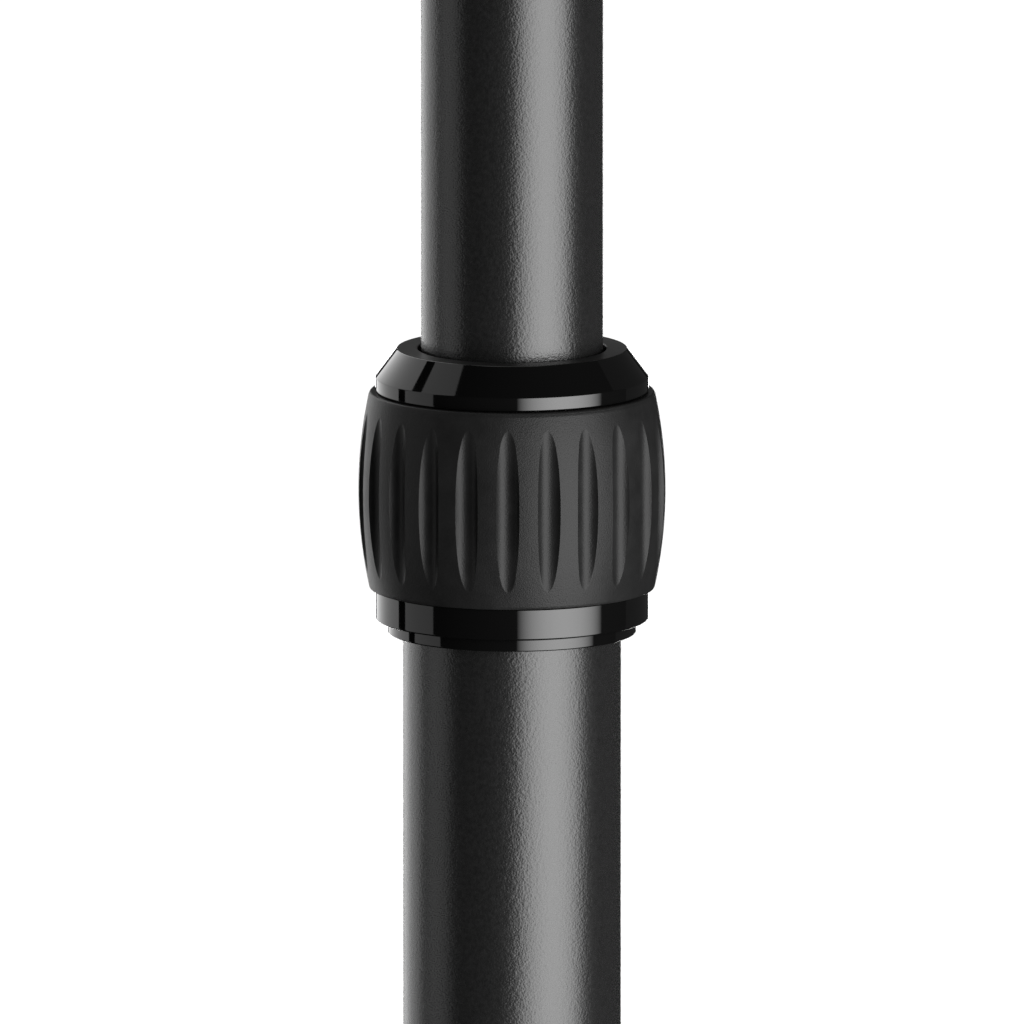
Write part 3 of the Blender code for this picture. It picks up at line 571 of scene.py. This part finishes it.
# ------------------------------------------------------------------ twist-lock collar
def make_sleeve():
    """The threaded sleeve: its foot is the step ring seen below the nut."""
    low, high = span("clamp_sleeve")
    flange_top = low + FLANGE_HEIGHT
    shoulder = low + TUBE_SEAT_DEPTH + FIXED_GAP
    cone = high - CONE_HEIGHT
    lip = SLEEVE_RADIUS - 0.8 * MM
    seat_bore = LOWER_RADIUS + SNUG
    guide_bore = UPPER_RADIUS + FIXED_GAP
    corners = [
        (SLEEVE_RADIUS, high, 0.15 * MM),
        (SLEEVE_RADIUS, flange_top, 0.1 * MM),
        (FLANGE_RADIUS, flange_top, 0.22 * MM),
        (FLANGE_RADIUS, low, 0.22 * MM),
        (seat_bore, low, 0.12 * MM),
        (seat_bore, shoulder),
        (guide_bore, shoulder, 0.1 * MM),
        (guide_bore, cone, 0.1 * MM),
        (lip - CONE_RISE, cone, 0.1 * MM),
        (lip, high, 0.1 * MM),
    ]

    def thread(radius, height, angle):
        on_skin = np.abs(radius - SLEEVE_RADIUS) < 0.01 * MM
        return on_skin * collar_rib(height, angle, low + THREAD_START)

    sleeve = turned("sleeve_step_ring", corners, segments=240, longest=0.22 * MM, relief=thread)
    place_piece(sleeve, "lower_section", "gloss_plastic", GLOSS_PLASTIC, "clamp_sleeve")


def make_nut():
    """The nut's barrel, of which only the gloss band at its foot shows, with its thread inside."""
    low, high = span("nut_body")
    band_top = span("nut_grip")[0] - 0.1 * MM
    corners = [
        (WAIST_RADIUS, high, 0.1 * MM),
        (WAIST_RADIUS, band_top, 0.1 * MM),
        (BAND_RADIUS, band_top, 0.18 * MM),
        (BAND_RADIUS, low, 0.25 * MM),
        (NUT_BORE, low, 0.15 * MM),
        (NUT_BORE, high, 0.1 * MM),
    ]

    def thread(radius, height, angle):
        in_bore = np.abs(radius - NUT_BORE) < 0.01 * MM
        start = COLLAR_FOOT + THREAD_START + THREAD_PITCH / 2
        return -1.0 * in_bore * collar_rib(height, angle, start)

    nut = turned("nut_gloss_band", corners, segments=240, longest=0.25 * MM, relief=thread)
    place_piece(nut, "lock_nut", "gloss_plastic", GLOSS_PLASTIC, "nut_body")


def make_cap():
    """The chamfered cap and the wiper in its bore. The cap's rim and bore are satin, the rest is polished."""
    low, high = span("nut_cap")
    grip_top = span("nut_grip")[1]
    seat = grip_top + 0.1 * MM
    band_top = high - CHAMFER_HEIGHT
    wiper_low, wiper_high = span("wiper_ring")
    wiper_seat = radius_of("wiper_ring") + SLIDE_GAP
    groove_low, groove_high = wiper_low - THIN_GAP, wiper_high + THIN_GAP
    spigot = NUT_BORE - FIXED_GAP
    spigot_bore = spigot - 0.9 * MM
    push_face = seat - 1.15 * MM
    bore = UPPER_RADIUS + 0.45 * MM
    corners = [
        (BAND_RADIUS - CHAMFER_INSET, high, 0.22 * MM),
        (BAND_RADIUS, band_top, 0.25 * MM),
        (BAND_RADIUS, seat, 0.18 * MM),
        (spigot, seat, 0.1 * MM),
        (spigot, low, 0.1 * MM),
        (spigot_bore, low, 0.1 * MM),
        (spigot_bore, push_face, 0.1 * MM),
        (bore, push_face, 0.1 * MM),
        (bore, groove_low, 0.05 * MM),
        (wiper_seat, groove_low, 0.05 * MM),
        (wiper_seat, groove_high, 0.05 * MM),
        (bore, groove_high, 0.05 * MM),
        (bore, high, 0.2 * MM),
    ]
    cap = turned("nut_cap_chamfered", corners, segments=256, longest=1.0 * MM, steps=8)
    place_piece(cap, "lock_nut", "gloss_plastic", [GLOSS_PLASTIC, SATIN_RIM], "nut_cap")
    faces = cap.data.polygons
    normals, centres = np.zeros((2, 3 * len(faces)), np.float32)
    faces.foreach_get("normal", normals)
    faces.foreach_get("center", centres)
    across, along, height = centres[0::3], centres[1::3], centres[2::3]
    satin = (height > high - 0.05 * MM) & (normals[2::3] > 0.9)
    satin |= (height > push_face) & (np.hypot(across, along) < bore + 0.3 * MM)
    faces.foreach_set("material_index", satin.astype(np.int32))

    inner, outer = UPPER_RADIUS + 0.12 * MM, wiper_seat - SNUG
    corners = ring_corners(outer, inner, wiper_low - 0.1 * MM, wiper_high + 0.1 * MM, 0.25 * MM)
    wiper = turned("felt_wiper", corners, segments=128, longest=0.5 * MM)
    place_piece(wiper, "lock_nut", "foam", FOAM, "wiper_ring")


def make_grip():
    """The fluted rubber barrel. Its side is an arc of a large circle, and each flute is where a round bar
    parallel to the axis would cut that side: at an angle a from the flute's middle the bar's face lies at
    c cos a - sqrt(p^2 - c^2 sin^2 a), for a bar of radius p whose centre is c from the axis. The columns of
    points run along the flutes' edges, so that each edge is one clean line that closes at both ends.
    """
    low, high = span("nut_grip")
    low, high = low + SNUG, high - SNUG
    middle, half = (low + high) / 2, (high - low) / 2
    crest = BAND_RADIUS + GRIP_PROUD
    arc_radius = (half**2 + GRIP_CROWN**2) / (2 * GRIP_CROWN)
    reach = math.asin(half / arc_radius)
    turn = reach * np.linspace(1, -1, 121)[1:-1]
    side_radius = crest - arc_radius + arc_radius * np.cos(turn)
    side_height = middle + arc_radius * np.sin(turn)
    end_radius = crest - GRIP_CROWN
    bore = WAIST_RADIUS + 0.03 * MM
    fillet = np.linspace(math.pi / 2, 0.12, 7)

    def lip(size):
        """A rounded end of the side, from the flat end outwards: radii, and heights in from the end."""
        start = end_radius - size
        radii = np.append(start - 0.03 * MM, start + size * np.cos(fillet))
        return radii, np.append(0, size - size * np.sin(fillet))

    top_radius, top_depth = lip(0.35 * MM)
    foot_radius, foot_depth = lip(0.16 * MM)
    inside = side_height < high - top_depth[-1] - 0.02 * MM
    inside &= side_height > low + foot_depth[-1] + 0.02 * MM
    side_radius, side_height = side_radius[inside], side_height[inside]
    radius = np.concatenate([[bore], top_radius, side_radius, foot_radius[::-1], [bore]])
    height = np.concatenate([[high], high - top_depth, side_height, low + foot_depth[::-1], [low]])

    bar_centre = crest - FLUTE_DEPTH + FLUTE_RADIUS
    cosine = (radius**2 + bar_centre**2 - FLUTE_RADIUS**2) / (2 * radius * bar_centre)
    half_width = np.arccos(np.clip(cosine, -1, 1))
    on_side = np.zeros(len(radius), bool)
    on_side[1 + len(top_radius) : -1 - len(foot_radius)] = True
    half_width = np.where(on_side & (radius > bar_centre - FLUTE_RADIUS), half_width, 0)
    narrowest = math.radians(0.2)  # of the flute's columns where there is no flute
    column_width = np.maximum(half_width, narrowest)

    in_flute = np.concatenate([[-1], np.linspace(-0.97, 0.97, 13), [1]])
    on_land = np.concatenate([[0.03], np.linspace(0.12, 0.88, 6), [0.97]])
    sector = FULL_TURN / FLUTE_COUNT
    inner = column_width[:, None] * in_flute[None, :]
    land_start = column_width[:, None]
    land = land_start + (sector - 2 * land_start) * on_land[None, :]
    offsets = np.concatenate([inner, land], axis=1)
    square = FLUTE_RADIUS**2 - (bar_centre * np.sin(inner)) ** 2
    cut = bar_centre * np.cos(inner) - np.sqrt(np.maximum(square, 0))
    fluted = np.where(half_width[:, None] > 0, np.minimum(radius[:, None], cut), radius[:, None])
    radii = np.concatenate([fluted, np.repeat(radius[:, None], len(on_land), axis=1)], axis=1)
    starts = FLUTE_PHASE + sector * np.arange(FLUTE_COUNT)
    angles = (starts[None, :, None] + offsets[:, None, :]).reshape(len(radius), -1)
    radii = np.tile(radii, (1, FLUTE_COUNT))
    grip = sheet_object("fluted_rubber_grip", radii, height[:, None], angles, wrap_rows=True)
    place_piece(grip, "lock_nut", "grip_rubber", GRIP_RUBBER, "nut_grip")


def make_inner_pieces():
    """What never shows inside the collar and the tubes: washer, guide bush, snap ring and the two plugs."""
    low, high = span("thrust_washer")
    corners = ring_corners(radius_of("thrust_washer"), UPPER_RADIUS + FIXED_GAP, low, high, 0.12 * MM)
    washer = turned("steel_thrust_washer", corners, segments=128, longest=3 * MM)
    place_piece(washer, "lock_carrier", "plated_steel", PLATED_STEEL, "thrust_washer")

    low, high = span("guide_bush")
    corners = ring_corners(LOWER_BORE - SLIDE_GAP, UPPER_RADIUS + SLIDE_GAP, low, high, 0.08 * MM)
    place_piece(split_ring("nylon_guide", corners, 1.5 * MM), "guide", "nylon", NYLON, "guide_bush")

    low, high = span("snap_ring")
    corners = ring_corners(LOWER_BORE - FIXED_GAP, UPPER_RADIUS - 0.25 * MM, low, high, 0.12 * MM)
    ring = split_ring("steel_snap_ring", corners, 3.0 * MM)
    place_piece(ring, "upper_section", "plated_steel", PLATED_STEEL, "snap_ring")

    low, high = span("inner_end_plug")
    tube_foot = span("upper_tube")[0] - THIN_GAP
    vent = 3.0 * MM
    corners = [
        (UPPER_BORE - FIXED_GAP, high, 0.4 * MM),
        (UPPER_BORE - FIXED_GAP, tube_foot, 0.1 * MM),
        (LOWER_BORE - FIXED_GAP, tube_foot, 0.2 * MM),
        (LOWER_BORE - FIXED_GAP, low, 0.3 * MM),
        (vent, low, 0.3 * MM),
        (vent, high, 0.3 * MM),
    ]
    plug = turned("upper_tube_foot_plug", corners, segments=128, longest=3 * MM)
    place_piece(plug, "upper_section", "hard_plastic", HARD_PLASTIC, "inner_end_plug")

    low, high = span("butt_plug")
    corners = ring_corners(LOWER_BORE - FIXED_GAP, BUTT_SHANK_HOLE, low, high, 0.3 * MM)
    plug = turned("butt_expander_plug", corners, segments=128, longest=3 * MM)
    place_piece(plug, "lower_section", "hard_plastic", HARD_PLASTIC, "butt_plug")


# ------------------------------------------------------------------ tip
def make_tip():
    """The turned tip: a plug with two fine grooves, its two pins, the rubber washer and the stud."""
    low, high = span("tip_plug")
    head_low = span("upper_tube")[1] + FIXED_GAP
    head = radius_of("tip_plug")
    bore = STUD_MAJOR + FIXED_GAP
    spigot = UPPER_BORE - FIXED_GAP
    seat = high - 14.0 * MM
    groove = 0.35 * MM
    corners = [(TIP_NECK, high, 0.25 * MM), (head, high - (head - TIP_NECK), 0.3 * MM)]
    for top in (head_low + 4.4 * MM, head_low + 3.0 * MM):
        corners += [(head, top), (head - groove, top - groove), (head, top - 2 * groove)]
    corners += [
        (head, head_low, 0.3 * MM),
        (UPPER_RADIUS - 0.7 * MM, head_low, 0.05 * MM),
        (spigot, head_low - 0.6 * MM, 0.05 * MM),
        (spigot, low, 0.4 * MM),
        (bore / 2, low, 0.2 * MM),
        (bore / 2, seat, 0.1 * MM),
        (bore, seat, 0.1 * MM),
        (bore, high, 0.3 * MM),
    ]
    plug = turned("tip_plug_turned", corners, segments=256, longest=3 * MM)
    place_piece(plug, "upper_section", "anodised", ANODISED, "tip_plug")

    low, high = span("tip_washer")
    corners = ring_corners(TIP_NECK, STUD_MAJOR + 0.25 * MM, low - 0.1 * MM, high, 0.35 * MM)
    washer = turned("tip_washer_rubber", corners, segments=160, longest=1 * MM)
    place_piece(washer, "upper_section", "butt_rubber", BUTT_RUBBER, "tip_washer")
    make_stud()
    for number, side in ((1, 1), (2, -1)):
        make_tip_pin(f"tip_pin_{number}", f"drive_pin_{number}", side)


def hexagon(angle, flat):
    """The distance from the centre to a hexagon's side, in the direction of each angle."""
    return flat / np.cos((angle + math.pi / 6) % (math.pi / 3) - math.pi / 6)


def make_stud():
    """The stud's thread. Along the axis the radius is a V with a flat crest an eighth of the pitch wide and a
    root a quarter wide. The rows of points climb one pitch in each turn, so they run along crest and root,
    and they are cut off level at both ends of the thread."""
    low, high = span("mic_stud")
    shoulder = span("tip_plug")[1]
    columns = 96
    angle = np.arange(columns + 1) * FULL_TURN / columns
    crest, root = 1 / 16, 3 / 8  # where the V's crest ends and its root starts, in pitches from its middle
    near = crest + 0.09
    share = np.array([-0.5, -root, -0.25, -near, -crest, 0, crest, near, 0.25, root])
    turns = math.ceil((high - shoulder) / STUD_PITCH) + 2
    climb = (np.arange(-1, turns)[:, None] + share[None, :]).reshape(-1)
    heights = shoulder + STUD_PITCH * (climb[:, None] + angle[None, :] / FULL_TURN)
    heights = np.clip(heights, shoulder, high)[::-1]
    phase = (heights - shoulder) / STUD_PITCH - angle[None, :] / FULL_TURN
    across = np.abs(phase - np.round(phase))
    rise = np.clip((root - across) / (root - crest), 0, 1)
    radii = STUD_MINOR + (STUD_MAJOR - STUD_MINOR) * rise
    radii = np.minimum(radii, STUD_MINOR - 0.5 * MM + (high - heights))
    fade = smooth_step(heights, shoulder, shoulder + 0.8 * MM)
    radii = STUD_MINOR + (radii - STUD_MINOR) * np.where(radii > STUD_MINOR, fade, 1)
    socket = hexagon(angle, 2.2 * MM)
    socket_rows = [
        (0, high - 5.6 * MM),
        (socket, high - 5.0 * MM),
        (socket, high - 0.02 * MM),
        (socket + 0.12 * MM, high),
    ]
    socket_radii, socket_heights = level_rows(socket_rows, angle)
    shank_radii, shank_heights = level_rows([(STUD_MAJOR, shoulder), (STUD_MAJOR, low), (0, low)], angle)
    radii = np.concatenate([socket_radii, radii, shank_radii])
    heights = np.concatenate([socket_heights, heights, shank_heights])
    angles = angle[None, :]
    stud = sheet_object("mic_stud_threaded", radii, heights, angles, wrap_rows=False, wrap_columns=False)
    place_piece(stud, "upper_section", "plated_steel", PLATED_STEEL, "mic_stud")


def make_tip_pin(node, name, side):
    """A drive pin lying across the tube: rings of points about the pin's own axis, with a low domed end."""
    low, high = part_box(node)
    height = (low.z + high.z) / 2
    pin_radius = (high.z - low.z) / 2 + 0.1 * MM
    inner, outer = 8.6 * MM, UPPER_RADIUS + SNUG
    dome_height = 0.25 * MM
    dome = np.linspace(0, math.pi / 2, 9)[1:]
    shank = np.linspace(inner, outer - dome_height, 6)
    along = np.concatenate([[inner], shank, outer - dome_height + dome_height * np.sin(dome)])
    around_pin = np.concatenate([[0], np.full(len(shank), pin_radius), pin_radius * np.cos(dome) ** 0.5])
    spin = ring_angles(40)
    x = side * np.repeat(along[:, None], len(spin), axis=1)
    y = around_pin[:, None] * np.cos(spin)[None, :]
    z = height + around_pin[:, None] * np.sin(spin)[None, :]
    pin = sheet_object(name, np.hypot(x, y), z, np.arctan2(y, x), wrap_rows=False)
    place_piece(pin, "upper_section", "plated_steel", PLATED_STEEL, node)


# ------------------------------------------------------------------ hand grip and butt
def make_foam():
    """The foam sleeve. Its skin rises and falls by a sum of slow waves along and about the pole."""
    low, high = span("foam_grip")
    outer = radius_of("foam_grip")
    bore = LOWER_RADIUS + SOFT_FIT
    corners = ring_corners(outer, bore, low - 0.12 * MM, high + 0.12 * MM, 1.4 * MM, 0.2 * MM)
    skin, swelling = 1.2 * MM, 0.05 * MM

    def swell(radius, height, angle):
        share = np.clip((radius - outer + skin) / skin, 0, 1)
        waves = np.sin(height * 160 + 2 * np.sin(angle)) + 0.7 * np.sin(3 * angle + height * 95 + 1.0)
        waves = waves + 0.5 * np.sin(5 * angle - height * 310 + 0.4)
        return share * swelling * (waves - 1)

    foam = turned("foam_hand_grip", corners, segments=224, longest=1.2 * MM, steps=10, relief=swell)
    place_piece(foam, "lower_section", "foam", FOAM, "foam_grip")


def make_grip_rings():
    """The two rings that end the foam, each with a groove about its middle."""
    bore = LOWER_RADIUS + SOFT_FIT
    for end in ("lower", "upper"):
        node = f"grip_ring_{end}"
        low, high = span(node)
        outer = radius_of(node)
        floor = outer - 0.3 * MM
        middle = (low + high) / 2
        corners = [
            (outer, high, 1.0 * MM),
            (outer, middle + 0.35 * MM),
            (floor, middle + 0.15 * MM),
            (floor, middle - 0.15 * MM),
            (outer, middle - 0.35 * MM),
            (outer, low, 1.0 * MM),
            (bore, low, 0.2 * MM),
            (bore, high, 0.2 * MM),
        ]
        ring = turned(f"foam_end_ring_{end}", corners, longest=1.5 * MM, steps=10)
        place_piece(ring, "lower_section", "hard_plastic", HARD_PLASTIC, node)


def make_butt():
    """The rubber butt cap, with three moulded grooves about its side and the screw's counterbore below."""
    low, high = span("butt_cap")
    outer = radius_of("butt_cap")
    bore = LOWER_RADIUS + SOFT_FIT
    counterbore = 4.5 * MM
    counterbore_top = low + 2.95 * MM
    tube_seat = low + 5.0 * MM
    groove_floor = outer - 0.5 * MM
    corners = [(outer, high, 0.9 * MM)]
    for top in (low + 24.0 * MM, low + 20.5 * MM, low + 17.0 * MM):
        corners += [
            (outer, top, 0.2 * MM),
            (groove_floor, top - 0.5 * MM, 0.2 * MM),
            (groove_floor, top - 1.1 * MM, 0.2 * MM),
            (outer, top - 1.6 * MM, 0.2 * MM),
        ]
    corners += [
        (outer, low, 2.4 * MM),
        (counterbore, low, 0.3 * MM),
        (counterbore, counterbore_top, 0.1 * MM),
        (BUTT_SHANK_HOLE, counterbore_top, 0.1 * MM),
        (BUTT_SHANK_HOLE, tube_seat, 0.1 * MM),
        (bore, tube_seat, 0.1 * MM),
        (bore, high, 0.3 * MM),
    ]
    cap = turned("butt_cap_rubber", corners, segments=224, longest=2 * MM, steps=8)
    place_piece(cap, "lower_section", "butt_rubber", BUTT_RUBBER, "butt_cap")

    make_butt_screw()


def make_butt_screw():
    """The butt cap's screw: a low round head with a hexagon socket, and a plain shank."""
    low, high = span("butt_screw")
    angle = ring_angles(72)
    socket = hexagon(angle, 1.4 * MM)
    head, shank = 4.2 * MM, 2.2 * MM
    profile = [
        (0, low + 1.7 * MM),
        (socket, low + 1.4 * MM),
        (socket, low + 0.05 * MM),
        (socket + 0.1 * MM, low),
        (head - 0.4 * MM, low),
        (head - 0.08 * MM, low + 0.12 * MM),
        (head, low + 0.4 * MM),
        (head, low + 2.25 * MM),
        (head - 0.15 * MM, low + 2.4 * MM),
        (shank, low + 2.4 * MM),
        (shank, high - 0.4 * MM),
        (shank - 0.4 * MM, high),
        (0, high),
    ]
    radii, heights = level_rows(profile, angle)
    screw = sheet_object("butt_cap_screw", radii, heights, angle[None, :], wrap_rows=False)
    place_piece(screw, "lower_section", "black_steel", BLACK_STEEL, "butt_screw")


# ------------------------------------------------------------------ studio
def pointing(place, target):
    """The turn that points a lamp or a camera from its place at the target."""
    return (Vector(target) - Vector(place)).to_track_quat("-Z", "Y").to_euler()


def around_pole(azimuth, distance, height):
    """A place at that azimuth from the pole's front, turning towards +X."""
    a = math.radians(azimuth)
    return (distance * math.sin(a), -distance * math.cos(a), height)


def soft_panel(name, azimuths, distance, heights, radiance, across):
    """An upright rectangular light whose edges lie at two azimuths, seen from the pole, and at two heights.
    The pairs in across give its brightness: a share of its width, from its first edge, and a factor."""
    middle = sum(azimuths) / 2
    half_angle = math.radians(azimuths[1] - azimuths[0]) / 2
    light = bpy.data.lights.new(name, "AREA")
    light.shape = "RECTANGLE"
    light.size = 2 * distance * math.tan(half_angle)
    light.size_y = heights[1] - heights[0]
    light.energy = radiance * math.pi * light.size * light.size_y
    lamp = bpy.data.objects.new(name, light)
    lamp.location = around_pole(middle, distance, sum(heights) / 2)
    lamp.rotation_euler = pointing(lamp.location, (0, 0, lamp.location.z))
    lamp.visible_camera = False
    bpy.context.scene.collection.objects.link(lamp)

    light.use_nodes = True
    tree = light.node_tree
    place = tree.nodes.new("ShaderNodeNewGeometry").outputs["Parametric"]
    apart = tree.nodes.new("ShaderNodeSeparateXYZ")
    tree.links.new(place, apart.inputs[0])
    curve = tree.nodes.new("ShaderNodeFloatCurve")
    tree.links.new(apart.outputs["X"], curve.inputs["Value"])
    points = curve.mapping.curves[0].points
    top = max(factor for _, factor in across)
    points[0].location = (across[0][0], across[0][1] / top)
    points[1].location = (across[-1][0], across[-1][1] / top)
    for share, factor in across[1:-1]:
        points.new(share, factor / top)
    curve.mapping.update()
    strength = tree.nodes.new("ShaderNodeMath")
    strength.operation = "MULTIPLY"
    strength.inputs[1].default_value = top
    tree.links.new(curve.outputs[0], strength.inputs[0])
    tree.links.new(strength.outputs[0], tree.nodes["Emission"].inputs["Strength"])
    return lamp


def overhead_panel(name, height, size, radiance):
    """A square light above the pole, facing down."""
    light = bpy.data.lights.new(name, "AREA")
    light.shape = "SQUARE"
    light.size = size
    light.energy = radiance * math.pi * size * size
    lamp = bpy.data.objects.new(name, light)
    lamp.location = (0, 0, height)
    lamp.visible_camera = False
    bpy.context.scene.collection.objects.link(lamp)
    return lamp


def make_studio():
    """A white floor under soft panels that stand around the pole. The panels light the pole only, and a wash
    from above lights the floor only, so the floor stays evenly white but for the pole's soft shadow."""
    scene = bpy.context.scene
    half = 8
    corners = [(-half, -half, 0), (half, -half, 0), (half, half, 0), (-half, half, 0)]
    mesh = bpy.data.meshes.new("studio_floor")
    mesh.from_pydata(corners, [], [(0, 1, 2, 3)])
    floor = bpy.data.objects.new("studio_floor", mesh)
    mesh.materials.append(floor_finish())
    scene.collection.objects.link(floor)
    floor.visible_glossy = False
    floor.visible_diffuse = False

    even = [(0, 1), (1, 1)]
    hot_middle = [(share, 1 - 0.96 * (2 * share - 1) ** 2) for share in np.linspace(0, 1, 9)]
    back_fade = [(0, 1.7), (0.33, 1.4), (0.67, 1), (1, 1)]
    soft_panel("key_panel", (4.4, 80.6), 0.6, (0.01, 0.76), 7.4, hot_middle)
    soft_panel("side_panel", (-101.8, -69.8), 1.0, (0.05, 2.4), 0.7, [(0, 1.05), (1, 0.95)])
    soft_panel("back_left_panel", (-163.0, -111.2), 1.0, (0.05, 2.4), 1.12, back_fade)
    soft_panel("back_right_panel", (112.0, 162.0), 1.0, (0.05, 1.6), 0.045, even)
    soft_panel("low_rear_panel", (171.0, 189.0), 1.0, (0.02, 0.44), 6.0, even)
    soft_panel("high_rear_panel", (167.0, 193.0), 1.0, (0.46, 1.3), 0.14, even)
    overhead_panel("top_panel", 2.1, 1.0, 1.0)
    all_but_floor = bpy.data.collections.new("all_but_floor")
    all_but_floor.objects.link(floor)
    all_but_floor.collection_objects[0].light_linking.link_state = "EXCLUDE"
    for lamp in [o for o in scene.objects if o.type == "LIGHT"]:
        lamp.light_linking.receiver_collection = all_but_floor

    wash = overhead_panel("floor_wash", 6.0, 16.0, 1.95)
    floor_only = bpy.data.collections.new("floor_only")
    floor_only.objects.link(floor)
    wash.light_linking.receiver_collection = floor_only

    world = bpy.data.worlds.new("white_studio")
    scene.world = world
    world.use_nodes = True
    sky = world.node_tree.nodes["Background"]
    sky.inputs["Color"].default_value = grey(1)
    sky.inputs["Strength"].default_value = 1.05
    world.cycles_visibility.diffuse = False
    world.cycles_visibility.glossy = False
    scene.view_settings.view_transform = "Standard"
    scene.view_settings.look = "None"


def make_camera():
    """A very long lens far from the pole, looking a little down on the collar from the front."""
    lens = bpy.data.cameras.new("camera")
    lens.sensor_width = 36
    lens.lens = 1536
    lens.clip_end = 100
    camera = bpy.data.objects.new("camera", lens)
    target = Vector((0, 0, COLLAR_FOOT + 16.6 * MM))
    elevation = math.radians(9.5)
    distance = 6.0
    camera.location = target + distance * Vector((0, -math.cos(elevation), math.sin(elevation)))
    camera.rotation_euler = pointing(camera.location, target)
    bpy.context.scene.collection.objects.link(camera)
    bpy.context.scene.camera = camera


make_lower_tube()
make_upper_tube()
make_sleeve()
make_nut()
make_cap()
make_grip()
make_inner_pieces()
make_tip()
make_foam()
make_grip_rings()
make_butt()

for node, finish in {
    "collet": NYLON,
    "sleeve_screw_1": BLACK_STEEL,
    "sleeve_screw_2": BLACK_STEEL,
    "sleeve_screw_3": BLACK_STEEL,
}.items():
    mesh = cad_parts[node].data
    mesh.materials.clear()
    mesh.materials.append(finish)

make_studio()
make_camera()
